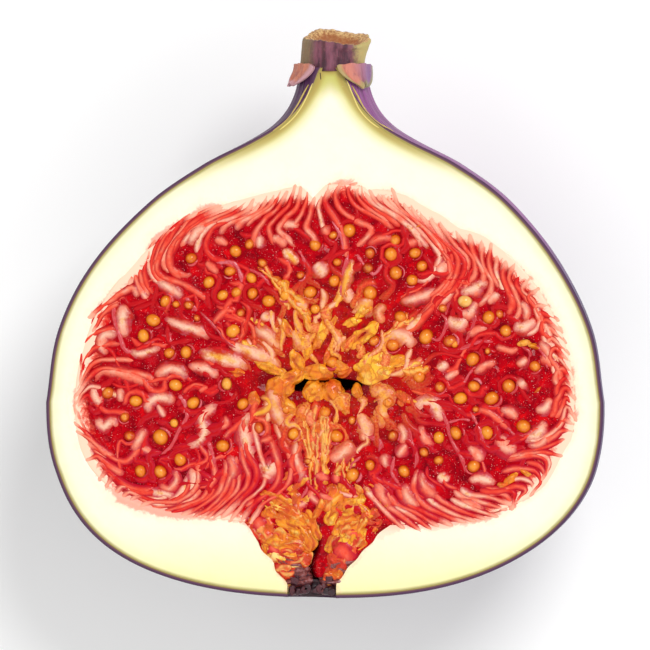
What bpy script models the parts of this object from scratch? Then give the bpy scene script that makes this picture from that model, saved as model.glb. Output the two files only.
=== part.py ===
"""A fresh fig, halved lengthwise, as a Blender model in metres with +Z up.

The half lies on its round back with the cut face level and uppermost. +Y runs from the eye to the stem
and +X is to the right of someone looking down on the cut face. The origin is under the middle of the half,
at the height of the surface that it rests on.

The knife went through the eye and passed in front of the stem, so the stem is whole. Working inwards from
the outside, the half is a thin purple skin, the white flesh, and the red pulp of florets and seeds. Small
bracts line the passage that leads from the pulp to the eye, dark scales close the eye, and three bracts
stand where the stem meets the neck.
"""

import math
import random

import bmesh
import bpy
from mathutils import Vector

MM = 0.001

# Driving dimensions of the fruit
BODY_RADIUS = 27.2 * MM
WIDEST_Y = -8.6 * MM
EYE_Y = -27.6 * MM
NECK_END_Y = 23.9 * MM
STEM_END_Y = 27.6 * MM
STEM_RADIUS = 3.15 * MM
EYE_RADIUS = 2.4 * MM
BOTTOM_ROUNDNESS = 2.45
SHOULDER_OUTLINE = [
    (WIDEST_Y, BODY_RADIUS),
    (-1.6 * MM, 26.05 * MM),
    (5.0 * MM, 22.75 * MM),
    (11.0 * MM, 17.5 * MM),
    (14.6 * MM, 12.5 * MM),
    (16.8 * MM, 8.25 * MM),
    (18.2 * MM, 6.0 * MM),
    (19.8 * MM, 4.5 * MM),
    (21.8 * MM, 3.6 * MM),
    (NECK_END_Y, 3.3 * MM),
]

# The walls, and the gap that keeps touching pieces apart
SKIN = 0.6 * MM
GAP = 0.3 * MM
REST_SPOT_DEPTH = 0.75 * MM

# The knife's plane above the fruit's own axis, and how the fruit is bent and tilted
CUT_ABOVE_AXIS_PER_LENGTH = 0.066
NECK_RISE = 0.35 * MM
NECK_SHIFT = 0.6 * MM
STEM_LEAN = 0.45 * MM
EYE_SHIFT = -1.2 * MM
BOTTOM_TILT = 0.02
CUT_Z = BODY_RADIUS + CUT_ABOVE_AXIS_PER_LENGTH * (WIDEST_Y - EYE_Y) - REST_SPOT_DEPTH

# The pulp and the passage to the eye
PULP_RADIUS = 24.3 * MM
PULP_TOP = 21.0 * MM
PULP_BOTTOM = 11.9 * MM
PULP_CENTRE_Y = -8.5 * MM
PULP_BOTTOM_ROUNDNESS = 3.0
PASSAGE_MOUTH_RADIUS = 6.9 * MM
PASSAGE_MOUTH_Y = -20.5 * MM
PASSAGE_WAIST_RADIUS = EYE_RADIUS
PASSAGE_WAIST_Y = -26.2 * MM
RELIEF = 0.9 * MM

# The hollow in the middle of the pulp
HOLLOW_CENTRE = (-0.6 * MM, -6.9 * MM)
HOLLOW_HALF_LENGTH = 8.0 * MM
HOLLOW_HALF_WIDTH = 1.2 * MM
HOLLOW_DEPTH = 4.0 * MM

# The pulp's repeats
ROOT_LEAN = 0.30
LEAN_REACH = 0.13
WAVE = 0.045
WAVES = 19
ROOT_DEPTH = 0.9 * MM
RIDGE_DROP = 0.4 * MM
CREST_BELOW_CUT = 0.06 * MM
OUTER_FLORETS = 66
OUTER_MARGIN = 0.50
OUTER_START = 0.05
OUTER_SHORT = 0.28
OUTER_LONG = 0.36
OUTER_HALF_WIDTH = 0.72 * MM
INNER_TRIES = 700
INNER_CLEARANCE = 1.6 * MM
INNER_HALF_WIDTH = 0.8 * MM
SEED_TRIES = 500
SEED_RADIUS = 0.8 * MM
SEED_SPACING = 2.1 * MM
SEED_TO_FLORET = 1.25 * MM
HOLLOW_LOBES = 13

# The bracts of the passage and the scales of the eye
BRACT_ROWS = 4
BRACT_RISE = 1.3 * MM
BRACT_HALF_WIDTH = 0.6 * MM
EYE_SCALE_SIZE = (0.55 * MM, 0.5 * MM, 0.55 * MM)
EYE_SCALE_ROWS = (
    (8, 1.5 * MM, EYE_Y + 0.45 * MM),
    (4, 0.7 * MM, EYE_Y + 0.4 * MM),
    (2, 1.1 * MM, EYE_Y + 1.4 * MM),
)

# The stem's rings from its foot to inside its torn end: how far along it, and how wide
STEM_RINGS = ((0, 1.0), (0.25, 0.96), (0.6, 1.0), (0.88, 1.03), (1, 0.97), (1.01, 0.8), (0.9, 0.62))
STEM_AROUND = 24
TORN_FROM = 0.85
TORN_DEPTH = 0.3 * MM

# The basal bracts
BRACT_THICKNESS = 0.6 * MM
BRACT_FOOT_Y = NECK_END_Y + 0.1 * MM

# How finely the round bodies are faceted
AROUND = 36
PULP_AROUND = 32
EYE_AROUND = 20
SEED_AROUND = 7
NO_FLOOR = -BODY_RADIUS


def smooth(t):
    """0 up to t = 0 and 1 from t = 1, with an even curve between."""
    t = min(max(t, 0.0), 1.0)
    return t * t * (3 - 2 * t)


def through(points, x):
    """The height at x of a smooth curve through the points, which run in rising or falling x."""
    points = sorted(points)
    last = len(points) - 2
    i = 0
    while i < last and x > points[i + 1][0]:
        i += 1

    def slope(k):
        low, high = max(k - 1, 0), min(k + 1, len(points) - 1)
        return (points[high][1] - points[low][1]) / (points[high][0] - points[low][0])

    (x0, y0), (x1, y1) = points[i], points[i + 1]
    width = x1 - x0
    t = (x - x0) / width
    start, end = slope(i) * width, slope(i + 1) * width
    rise = y1 - y0
    return y0 + t * (start + t * ((3 * rise - 2 * start - end) + t * (start + end - 2 * rise)))


def superellipse(t, roundness):
    """How far across and along the curve of unit size is at the angle t, from 0 to a quarter turn."""
    power = 2 / roundness
    return math.cos(t) ** power, math.sin(t) ** power


def axis_x(y):
    """The fruit's axis leans to the right at the neck and to the left at the eye."""
    at_neck = NECK_SHIFT * smooth((y - 2 * MM) / (14 * MM))
    at_stem = STEM_LEAN * smooth((y - NECK_END_Y) / (STEM_END_Y - NECK_END_Y))
    return at_neck + at_stem + EYE_SHIFT * smooth((-15 * MM - y) / (11 * MM))


def axis_z(y):
    """The axis meets the knife's plane at the eye, falls away from it, and rises again at the neck."""
    below = CUT_ABOVE_AXIS_PER_LENGTH * (y - EYE_Y)
    return CUT_Z - below + NECK_RISE * smooth((y - 13 * MM) / (10 * MM))


def tilted(x, y, z):
    """The right side of the fruit's underside hangs a little lower than the left."""
    return Vector((x, y - BOTTOM_TILT * x * smooth((-12 * MM - y) / (10 * MM)), z))


def skin_outline(inset):
    """The outside of the fruit from the eye to the neck as (y, radius), moved inwards by inset."""
    eye_t = math.acos((EYE_RADIUS / BODY_RADIUS) ** (BOTTOM_ROUNDNESS / 2))
    points = []
    for share in (1, 0.86, 0.73, 0.6, 0.46, 0.32, 0.18, 0.07):
        across, along = superellipse(eye_t * share, BOTTOM_ROUNDNESS)
        points.append((WIDEST_Y - (WIDEST_Y - EYE_Y) * along, BODY_RADIUS * across))
    for y in (-8.6, -5.2, -1.8, 2.2, 6.0, 9.6, 12.6, 15.0, 16.8, 18.4, 20.8, 23.9):
        points.append((y * MM, through(SHOULDER_OUTLINE, y * MM)))
    moved = []
    for i, (y, radius) in enumerate(points):
        before, after = points[max(i - 1, 0)], points[min(i + 1, len(points) - 1)]
        outward = Vector((before[1] - after[1], after[0] - before[0])).normalized()
        y_in = min(y - outward.x * inset, NECK_END_Y)
        moved.append((y_in, radius - outward.y * inset))
    moved[0] = (EYE_Y + inset, EYE_RADIUS)
    moved[-1] = (NECK_END_Y, moved[-1][1])
    return moved


def pulp_outline(inset):
    """The pulp's outer surface from the passage's mouth to its top as (y, radius), moved inwards by inset."""
    radius, top, bottom = PULP_RADIUS - inset, PULP_TOP - inset, PULP_BOTTOM - inset
    mouth_t = math.acos(((PASSAGE_MOUTH_RADIUS - inset) / radius) ** (PULP_BOTTOM_ROUNDNESS / 2))
    points = []
    for share in (1, 0.85, 0.7, 0.52, 0.34, 0.18):
        across, along = superellipse(mouth_t * share, PULP_BOTTOM_ROUNDNESS)
        points.append((PULP_CENTRE_Y - bottom * along, radius * across))
    for step in range(9):
        t = math.radians(10.8 * step)
        points.append((PULP_CENTRE_Y + top * math.sin(t), radius * math.cos(t)))
    return points


def passage_radius(y):
    """The passage to the eye widens from its waist to its mouth in the pulp."""
    share = (y - PASSAGE_WAIST_Y) / (PASSAGE_MOUTH_Y - PASSAGE_WAIST_Y)
    return PASSAGE_WAIST_RADIUS + max(share, 0) * (PASSAGE_MOUTH_RADIUS - PASSAGE_WAIST_RADIUS)


def passage_outline(inset, start_y, end_y):
    """The passage between two places along the fruit as (y, radius), moved inwards by inset."""
    places = [start_y] + [PASSAGE_WAIST_Y] * (start_y < PASSAGE_WAIST_Y < end_y) + [end_y]
    return [(y, passage_radius(y) - inset) for y in places]


def material(name, colour, roughness):
    made = bpy.data.materials.new(name)
    made.use_nodes = True
    shader = made.node_tree.nodes["Principled BSDF"]
    shader.inputs["Base Color"].default_value = (*colour, 1)
    shader.inputs["Roughness"].default_value = roughness
    made.diffuse_color = (*colour, 1)
    return made


def object_from(name, mesh_builder, surface=None):
    """A named object from a bmesh, with its faces pointing outwards."""
    bmesh.ops.recalc_face_normals(mesh_builder, faces=mesh_builder.faces)
    mesh = bpy.data.meshes.new(name)
    mesh_builder.to_mesh(mesh)
    mesh_builder.free()
    made = bpy.data.objects.new(name, mesh)
    bpy.context.scene.collection.objects.link(made)
    if surface:
        made.data.materials.append(surface)
    return made


def round_shaded(made):
    made.data.shade_smooth()
    made.data.set_sharp_from_angle(angle=math.radians(40))


def ring(builder, y, radius, around, floor):
    """A circle round the fruit's axis at y. No point of it is lower than floor."""
    points = []
    for k in range(around):
        turn = 2 * math.pi * k / around
        x = axis_x(y) + radius * math.sin(turn)
        z = max(axis_z(y) + radius * math.cos(turn), floor)
        points.append(builder.verts.new(tilted(x, y, z)))
    return points


def join_rings(builder, rings):
    for first, second in zip(rings, rings[1:]):
        for k in range(len(first)):
            after = (k + 1) % len(first)
            builder.faces.new((first[k], first[after], second[after], second[k]))


def solid_round_axis(name, outline, surface, around, floor=NO_FLOOR):
    """A solid body round the fruit's axis, with a flat face at each end."""
    builder = bmesh.new()
    rings = [ring(builder, y, radius, around, floor) for y, radius in outline]
    join_rings(builder, rings)
    builder.faces.new(rings[0])
    builder.faces.new(rings[-1])
    return object_from(name, builder, surface)


def hide_cutter(cutter):
    cutter.hide_render = True
    cutter.display_type = "WIRE"


def cut(made, cutter):
    """Takes cutter's shape out of the object, and removes the cutter."""
    hide_cutter(cutter)
    modifier = made.modifiers.new("Cut by " + cutter.name, "BOOLEAN")
    modifier.operation = "DIFFERENCE"
    modifier.solver = "EXACT"
    modifier.object = cutter
    apply_modifier(made, modifier)
    bpy.data.objects.remove(cutter)


def apply_modifier(made, modifier):
    with bpy.context.temp_override(object=made, active_object=made):
        bpy.ops.object.modifier_apply(modifier=modifier.name)


def box(name, low, high):
    builder = bmesh.new()
    bmesh.ops.create_cube(builder, size=1)
    for vert in builder.verts:
        share = vert.co + Vector((0.5, 0.5, 0.5))
        vert.co = [a + (b - a) * s for a, b, s in zip(low, high, share)]
    return object_from(name, builder)


def cut_at(made, height):
    """Slices the object level at a height, as the knife does, and keeps what is below."""
    reach = 2 * BODY_RADIUS
    cut(made, box("knife", (-reach, -reach, height), (reach, reach, height + reach)))


def join_all(core, repeats):
    """Fuses the repeats into the core as one body."""
    group = bpy.data.collections.new("repeats of " + core.name)
    bpy.context.scene.collection.children.link(group)
    for piece in repeats:
        bpy.context.scene.collection.objects.unlink(piece)
        group.objects.link(piece)
    modifier = core.modifiers.new("Join repeats", "BOOLEAN")
    modifier.operation = "UNION"
    modifier.operand_type = "COLLECTION"
    modifier.solver = "MANIFOLD"
    modifier.collection = group
    apply_modifier(core, modifier)
    for piece in repeats:
        bpy.data.objects.remove(piece)
    bpy.data.collections.remove(group)
    keep_main_body(core)


def keep_main_body(made):
    """Fills the hollows that joining has sealed, and drops loose scraps."""
    builder = bmesh.new()
    builder.from_mesh(made.data)
    left = set(builder.verts)
    bodies = []
    while left:
        body, front = set(), [left.pop()]
        while front:
            vert = front.pop()
            body.add(vert)
            for edge in vert.link_edges:
                other = edge.other_vert(vert)
                if other in left:
                    left.discard(other)
                    front.append(other)
        bodies.append(body)
    bodies.sort(key=len)
    for body in bodies[:-1]:
        bmesh.ops.delete(builder, geom=list(body), context="VERTS")
    builder.to_mesh(made.data)
    builder.free()


def ridge(name, path, half_width):
    """A ridge along a path on the cut face. It is highest in its middle, and lower and narrower at its ends."""
    builder = bmesh.new()
    foot = CUT_Z - RELIEF - ROOT_DEPTH
    sections = []
    for i, point in enumerate(path):
        before, after = path[max(i - 1, 0)], path[min(i + 1, len(path) - 1)]
        along = (after - before).normalized()
        side = Vector((-along.y, along.x, 0))
        swell = math.sin(math.pi * (i + 0.4) / (len(path) - 0.2)) ** 0.7
        wide, narrow = half_width * (0.3 + 0.7 * swell), half_width * 0.5 * swell
        crest = CUT_Z - CREST_BELOW_CUT - RIDGE_DROP * (1 - swell)
        place = Vector((point.x, point.y, 0))
        corners = ((-wide, foot), (-narrow, crest), (narrow, crest), (wide, foot))
        sections.append([builder.verts.new(place + side * a + Vector((0, 0, z))) for a, z in corners])
    join_rings(builder, sections)
    builder.faces.new(sections[0])
    builder.faces.new(sections[-1])
    return object_from(name, builder)


def ball(name, centre, size, turn=0.0, around=6, rows=4):
    """A round lump with the half sizes given, turned about +Z."""
    builder = bmesh.new()
    bmesh.ops.create_uvsphere(builder, u_segments=around, v_segments=rows, radius=1)
    for vert in builder.verts:
        x, y, z = (a * b for a, b in zip(vert.co, size))
        turned = (x * math.cos(turn) - y * math.sin(turn), x * math.sin(turn) + y * math.cos(turn), z)
        vert.co = Vector(centre) + Vector(turned)
    return object_from(name, builder)


def pulp_wall(turn):
    """Where the pulp meets the flesh on the cut face, in the direction turn from the pulp's centre."""
    upper = math.cos(turn) > 0
    roundness = 2 if upper else PULP_BOTTOM_ROUNDNESS
    across = abs(math.sin(turn)) / PULP_RADIUS
    along = abs(math.cos(turn)) / (PULP_TOP if upper else PULP_BOTTOM)
    reach = (across**roundness + along**roundness) ** (-1 / roundness)
    return Vector((reach * math.sin(turn), PULP_CENTRE_Y + reach * math.cos(turn), 0))


def pulp_place(depth, turn):
    """A place on the cut face of the pulp. Depth is 0 at the flesh and 1 at the hollow. Turn is 0 towards the
    stem and half a turn at the eye, and is positive on the right."""
    hollow_x = HOLLOW_CENTRE[0] + HOLLOW_HALF_LENGTH * math.sin(turn)
    hollow_y = HOLLOW_CENTRE[1] + HOLLOW_HALF_WIDTH * math.cos(turn)
    place = pulp_wall(turn).lerp(Vector((hollow_x, hollow_y, 0)), depth)
    return tilted(place.x + axis_x(place.y), place.y, 0)


def floret_path(root_turn, start, end, steps):
    """A floret leans from its root in the flesh towards the eye, and then turns to the hollow in waves."""
    side = math.copysign(1, root_turn)
    lean = ROOT_LEAN * math.sin(abs(root_turn)) ** 0.5
    path = []
    for i in range(steps + 1):
        depth = start + (end - start) * i / steps
        wave = WAVE * math.sin(WAVES * depth + 3 * root_turn) * smooth(6 * depth)
        turn = abs(root_turn) + lean * (1 - math.exp(-depth / LEAN_REACH)) + wave
        path.append(pulp_place(depth, side * min(max(turn, 0.03), math.pi - 0.03)))
    return path


def clear_of(places, others, distance):
    return all((place - other).length > distance for place in places for other in others)


def make_skin(surface):
    builder = bmesh.new()
    rings = [ring(builder, y, radius, AROUND, 0) for y, radius in skin_outline(0)]
    rings += [ring(builder, y, radius, AROUND, SKIN) for y, radius in reversed(skin_outline(SKIN))]
    join_rings(builder, rings + [rings[0]])
    skin = object_from("skin", builder, surface)
    cut_at(skin, CUT_Z)
    return skin


def make_flesh(surface):
    outline = skin_outline(SKIN + GAP)
    flesh = solid_round_axis("flesh", outline, surface, AROUND, floor=SKIN + GAP)
    cut(flesh, solid_round_axis("pulp_space", pulp_outline(0), None, PULP_AROUND))
    passage = passage_outline(0, EYE_Y - GAP, PASSAGE_MOUTH_Y + 1 * MM)
    cut(flesh, solid_round_axis("passage_space", passage, None, PULP_AROUND))
    cut_at(flesh, CUT_Z)
    return flesh


def pulp_core(surface):
    """The body that the florets stand on, level a little below the cut face, with the hollow in its middle."""
    core = solid_round_axis("pulp", pulp_outline(GAP), surface, PULP_AROUND)
    cut_at(core, CUT_Z - RELIEF)
    middle = (*HOLLOW_CENTRE, CUT_Z - RELIEF)
    size = (HOLLOW_HALF_LENGTH, HOLLOW_HALF_WIDTH, HOLLOW_DEPTH)
    cut(core, ball("hollow", middle, size, around=14, rows=8))
    return core


def outer_florets():
    """The fine florets that root in the flesh all round the pulp, by turns long and short."""
    made = []
    for i in range(OUTER_FLORETS):
        turn = (2 * (i + 0.5) / OUTER_FLORETS - 1) * (math.pi - OUTER_MARGIN)
        path = floret_path(turn, OUTER_START, OUTER_LONG if i % 2 else OUTER_SHORT, 4)
        made.append(ridge(f"outer_floret_{i}", path, OUTER_HALF_WIDTH))
    return made


def inner_florets(draw):
    """Stout curved florets, scattered clear of one another. Also returns the places that they fill."""
    made, filled = [], []
    for _ in range(INNER_TRIES):
        start = draw.uniform(0.36, 0.68)
        path = floret_path(draw.uniform(-math.pi, math.pi), start, start + draw.uniform(0.2, 0.3), 4)
        if clear_of(path, filled, INNER_CLEARANCE):
            made.append(ridge(f"inner_floret_{len(made)}", path, INNER_HALF_WIDTH))
            filled += path
    return made, filled


def seeds(draw, filled):
    """Round seeds, sunk by a third, scattered between the florets."""
    made, placed = [], []
    for _ in range(SEED_TRIES):
        spot = pulp_place(draw.uniform(0.24, 0.86), draw.uniform(-math.pi, math.pi))
        if clear_of([spot], placed, SEED_SPACING) and clear_of([spot], filled, SEED_TO_FLORET):
            placed.append(spot)
            centre = (spot.x, spot.y, CUT_Z - RELIEF + 0.35 * SEED_RADIUS)
            made.append(ball(f"seed_{len(made)}", centre, (SEED_RADIUS,) * 3, around=SEED_AROUND))
    return made


def hollow_lobes(draw):
    """The swollen floret tips that crowd round the hollow."""
    made = []
    for i in range(HOLLOW_LOBES):
        turn = 2 * math.pi * (i + 0.5) / HOLLOW_LOBES - math.pi
        edge, outside = pulp_place(0.96, turn), pulp_place(0.7, turn)
        away = (outside - edge).normalized()
        size = (draw.uniform(1.5, 2.2) * MM, draw.uniform(0.8, 1.1) * MM, RELIEF + 0.1 * MM)
        spot = edge + away * size[0]
        centre = (spot.x, spot.y, CUT_Z - RELIEF)
        made.append(ball(f"lobe_{i}", centre, size, math.atan2(away.y, away.x), SEED_AROUND))
    return made


def make_pulp(surface):
    draw = random.Random(7)
    core = pulp_core(surface)
    inner, filled = inner_florets(draw)
    join_all(core, outer_florets() + inner + seeds(draw, filled) + hollow_lobes(draw))
    return core


def passage_bract(i, side, start_y):
    """One bract of the passage as the knife shows it: from the wall it bends up towards the pulp."""
    path = []
    for step in range(5):
        share = step / 4
        y = start_y + BRACT_RISE * share**1.5
        wall = passage_radius(start_y) - 1.4 * GAP - BRACT_HALF_WIDTH
        x = side * (wall + (BRACT_HALF_WIDTH + 0.2 * MM - wall) * share)
        path.append(Vector((x + axis_x(y), y, 0)))
    return ridge(f"bract_{i}_{side}", path, BRACT_HALF_WIDTH)


def make_passage_bracts(surface):
    """The papery bracts of the passage, fused into the core that they grow from."""
    start, end = PASSAGE_WAIST_Y + 0.9 * MM, PULP_CENTRE_Y - PULP_BOTTOM
    core = solid_round_axis("passage_bracts", passage_outline(GAP, start, end), surface, PULP_AROUND)
    cut_at(core, CUT_Z - RELIEF)
    first, last = start + BRACT_HALF_WIDTH + 0.1 * MM, end - BRACT_RISE - BRACT_HALF_WIDTH
    rows = [first + (last - first) * i / (BRACT_ROWS - 1) for i in range(BRACT_ROWS)]
    join_all(core, [passage_bract(i, side, y) for i, y in enumerate(rows) for side in (-1, 1)])
    return core


def make_eye_scales(surface):
    """The dark scales that close the eye: rings of small scales that the knife has halved."""
    start, end = EYE_Y + 0.15 * MM, PASSAGE_WAIST_Y + 0.5 * MM
    core = solid_round_axis("eye_scales", passage_outline(GAP, start, end), surface, EYE_AROUND)
    cut_at(core, CUT_Z - 0.5 * MM)
    scales = []
    for row, (count, radius, y) in enumerate(EYE_SCALE_ROWS):
        for i in range(count):
            turn = math.pi * i / (count - 1)
            out = Vector((math.cos(turn), 0, -math.sin(turn)))
            centre = Vector((axis_x(y), y, axis_z(y) - 0.1 * MM)) + out * radius
            scales.append(ball(f"scale_{row}_{i}", centre, EYE_SCALE_SIZE, around=5))
    join_all(core, scales)
    cut_at(core, CUT_Z - CREST_BELOW_CUT)
    return core


def make_stem(surface):
    """The whole stem, ribbed along its length, with a torn rim round the hollow of its cut end."""
    builder = bmesh.new()
    rings = []
    base = NECK_END_Y + GAP
    for along, share in STEM_RINGS:
        y = base + (STEM_END_Y - base) * along
        points = []
        for k in range(STEM_AROUND):
            turn = 2 * math.pi * k / STEM_AROUND
            ribs = 1 + 0.045 * math.cos(5 * turn + 0.6) + 0.02 * math.cos(9 * turn)
            torn = TORN_DEPTH * (math.cos(3 * turn + 1) - 1) * (along > TORN_FROM)
            x = axis_x(y) + STEM_RADIUS * share * ribs * math.sin(turn)
            z = axis_z(y) + STEM_RADIUS * share * ribs * math.cos(turn)
            points.append(builder.verts.new((x, y + torn, z)))
        rings.append(points)
    join_rings(builder, rings)
    builder.faces.new(rings[0])
    builder.faces.new(rings[-1])
    return object_from("stem", builder, surface)


def make_bract(name, centre_turn, half_turn, length, lift, surface):
    """A thin scale that hugs the neck from the foot of the stem, narrows to its tip and lifts away there."""
    builder = bmesh.new()
    across, along = 6, 5
    layers = []
    for height in (GAP, GAP + BRACT_THICKNESS):
        rows = []
        for j in range(along + 1):
            share = j / along
            y = BRACT_FOOT_Y - length * share
            neck = max(through(SHOULDER_OUTLINE, min(y, NECK_END_Y)), STEM_RADIUS * 1.06)
            radius = neck + height + lift * share**1.5
            spread = half_turn * (1 - share**1.8) + 0.05
            row = []
            for i in range(across + 1):
                turn = centre_turn + spread * (2 * i / across - 1)
                point = (axis_x(y) + radius * math.sin(turn), y, axis_z(y) + radius * math.cos(turn))
                row.append(builder.verts.new(point))
            rows.append(row)
        layers.append(rows)
    for rows in layers:
        for first, second in zip(rows, rows[1:]):
            for i in range(across):
                builder.faces.new((first[i], first[i + 1], second[i + 1], second[i]))
    rims = [[layer[0] for layer in layers], [layer[-1] for layer in layers]]
    rims += [[[row[i] for row in layer] for layer in layers] for i in (0, across)]
    for low, high in rims:
        for i in range(len(low) - 1):
            builder.faces.new((low[i], low[i + 1], high[i + 1], high[i]))
    return object_from(name, builder, surface)


def main():
    for old in list(bpy.data.objects):
        bpy.data.objects.remove(old)
    purple = material("purple skin", (0.10, 0.045, 0.13), 0.5)
    cream = material("cream flesh", (0.93, 0.88, 0.68), 0.45)
    red = material("red pulp", (0.55, 0.03, 0.03), 0.3)
    golden = material("golden bracts", (0.85, 0.40, 0.06), 0.4)
    dark = material("dark scales", (0.09, 0.02, 0.04), 0.5)
    brown = material("stem brown", (0.22, 0.12, 0.10), 0.6)
    russet = material("russet bracts", (0.42, 0.16, 0.13), 0.55)
    make_skin(purple)
    make_flesh(cream)
    make_pulp(red)
    make_passage_bracts(golden)
    make_eye_scales(dark)
    make_stem(brown)
    make_bract("bract_left", math.radians(-66), 0.55, 2.5 * MM, 1.1 * MM, russet)
    make_bract("bract_right", math.radians(52), 0.62, 2.9 * MM, 0.7 * MM, russet)
    make_bract("bract_back", math.radians(180), 0.60, 2.9 * MM, 0.6 * MM, russet)
    for made in bpy.data.objects:
        round_shaded(made)


main()
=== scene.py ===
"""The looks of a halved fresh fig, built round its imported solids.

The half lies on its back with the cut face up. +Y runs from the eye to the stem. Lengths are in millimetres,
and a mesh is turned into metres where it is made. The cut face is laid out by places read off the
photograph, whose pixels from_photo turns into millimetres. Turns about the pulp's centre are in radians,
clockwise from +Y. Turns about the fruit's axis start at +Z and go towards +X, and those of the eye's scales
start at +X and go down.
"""

import math
import random

import bpy
import numpy as np
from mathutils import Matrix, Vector, kdtree, noise


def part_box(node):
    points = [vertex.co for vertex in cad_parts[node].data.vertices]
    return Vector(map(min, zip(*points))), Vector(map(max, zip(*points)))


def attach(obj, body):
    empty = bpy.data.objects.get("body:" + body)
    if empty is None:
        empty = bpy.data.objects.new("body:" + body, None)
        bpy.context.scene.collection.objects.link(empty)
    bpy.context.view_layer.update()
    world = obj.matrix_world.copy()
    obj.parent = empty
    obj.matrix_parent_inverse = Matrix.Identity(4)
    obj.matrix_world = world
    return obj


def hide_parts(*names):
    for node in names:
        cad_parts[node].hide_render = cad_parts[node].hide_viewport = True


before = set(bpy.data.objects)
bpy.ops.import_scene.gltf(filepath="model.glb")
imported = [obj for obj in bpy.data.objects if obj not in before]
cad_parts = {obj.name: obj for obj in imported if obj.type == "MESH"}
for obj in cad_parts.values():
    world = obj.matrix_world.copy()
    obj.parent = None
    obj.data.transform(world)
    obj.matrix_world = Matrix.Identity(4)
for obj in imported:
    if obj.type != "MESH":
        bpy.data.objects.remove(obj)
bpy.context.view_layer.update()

MM = 0.001

# The fruit's driving dimensions, as its solids have them
CUT_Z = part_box("skin")[1].z / MM
BODY_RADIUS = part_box("skin")[1].x / MM
NECK_END_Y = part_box("skin")[1].y / MM
STEM_END_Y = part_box("stem")[1].y / MM
WIDEST_Y = -8.6
EYE_Y = -27.6
EYE_RADIUS = 2.4
BOTTOM_ROUNDNESS = 2.45
SHOULDER_OUTLINE = [
    (WIDEST_Y, BODY_RADIUS),
    (-1.6, 26.05),
    (5.0, 22.75),
    (11.0, 17.5),
    (14.6, 12.5),
    (16.8, 8.25),
    (18.2, 6.0),
    (19.8, 4.5),
    (21.8, 3.6),
    (NECK_END_Y, 3.3),
]
SKIN = 0.42
FLESH_INSET = 0.44
FLESH_FLOOR = 0.9
PULP_RADIUS = 24.3
PULP_TOP = 21.0
PULP_BOTTOM = 11.9
PULP_CENTRE_Y = -8.5
PULP_BOTTOM_ROUNDNESS = 3.0
PASSAGE_MOUTH_RADIUS = 6.9
PASSAGE_MOUTH_Y = -20.5
PASSAGE_WAIST_Y = -26.2
HOLLOW_CENTRE = (-0.6, -6.9)
HOLLOW_HALF_LENGTH = 8.0
HOLLOW_HALF_WIDTH = 1.2
GOLDEN_CENTRE = (1.1, -5.3)
STEM_RADIUS = 3.15

# The photograph's scale on the cut face, and the pixel that lies over the origin
PIXELS_PER_MM = 10.3
ORIGIN_PIXEL = (324.0, 313.5)


def smooth(t):
    """0 up to t = 0 and 1 from t = 1, with an even curve between. Takes numbers or arrays."""
    t = np.clip(t, 0.0, 1.0)
    return t * t * (3 - 2 * t)


def from_photo(points):
    """Places on the cut face, in millimetres, from pixels of the photograph."""
    points = np.array(points, float)
    return np.column_stack(
        [(points[:, 0] - ORIGIN_PIXEL[0]) / PIXELS_PER_MM, (ORIGIN_PIXEL[1] - points[:, 1]) / PIXELS_PER_MM]
    )


def run_along(places):
    """How far along the line through the places each of them lies."""
    return np.concatenate([[0], np.cumsum(np.linalg.norm(np.diff(places, axis=0), axis=1))])


def smooth_path(points, count):
    """Evenly spaced places on a smooth curve through the points."""
    points = np.array(points, float)
    ends = np.vstack([2 * points[0] - points[1], points, 2 * points[-1] - points[-2]])
    fine = []
    t = np.linspace(0, 1, 12, endpoint=False)[:, None]
    for a, b, c, d in zip(ends, ends[1:], ends[2:], ends[3:]):
        bend = (2 * a - 5 * b + 4 * c - d) * t**2 + (3 * b - a - 3 * c + d) * t**3
        fine.append(b + ((c - a) * t + bend) / 2)
    fine = np.vstack(fine + [points[-1:]])
    length = run_along(fine)
    at = np.linspace(0, length[-1], count)
    return np.column_stack([np.interp(at, length, fine[:, i]) for i in range(fine.shape[1])])


def lumps(points, size, seed=0.0):
    """Smooth noise from about -1 to 1 at each point, with lumps of the size given."""
    shift = Vector((seed * 17.3, seed * 5.1, seed * 9.7))
    return np.array([noise.noise(Vector(point) / size + shift) for point in points])


def path_lumps(path, size, seed):
    """Smooth noise along a flat path, other noise for each seed."""
    return lumps(np.column_stack([path, np.full(len(path), seed)]), size)


def pushed(path, bumps, amount):
    """The path moved aside by its bumps."""
    return path + amount * np.column_stack([bumps, -bumps])


def turned(points, angle, first=0, second=1):
    """The points turned about the origin, from the first axis towards the second."""
    cos, sin = math.cos(angle), math.sin(angle)
    made = points.copy()
    made[:, first] = points[:, first] * cos - points[:, second] * sin
    made[:, second] = points[:, first] * sin + points[:, second] * cos
    return made


# The fruit's form

def axis_x(y):
    """The fruit's axis leans to the right at the neck and to the left at the eye."""
    at_neck = 0.6 * smooth((y - 2) / 14)
    at_stem = 0.45 * smooth((y - NECK_END_Y) / (STEM_END_Y - NECK_END_Y))
    return at_neck + at_stem - 1.2 * smooth((-15 - y) / 11)


def axis_z(y):
    """The axis meets the knife's plane at the eye, falls away from it, and rises again at the neck."""
    return CUT_Z - 0.066 * (y - EYE_Y) + 0.35 * smooth((y - 13) / 10)


def tilted(points):
    """The right side of the fruit's underside hangs a little lower than the left."""
    points = np.array(points, float)
    points[..., 1] -= 0.02 * points[..., 0] * smooth((-12 - points[..., 1]) / 10)
    return points


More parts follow.
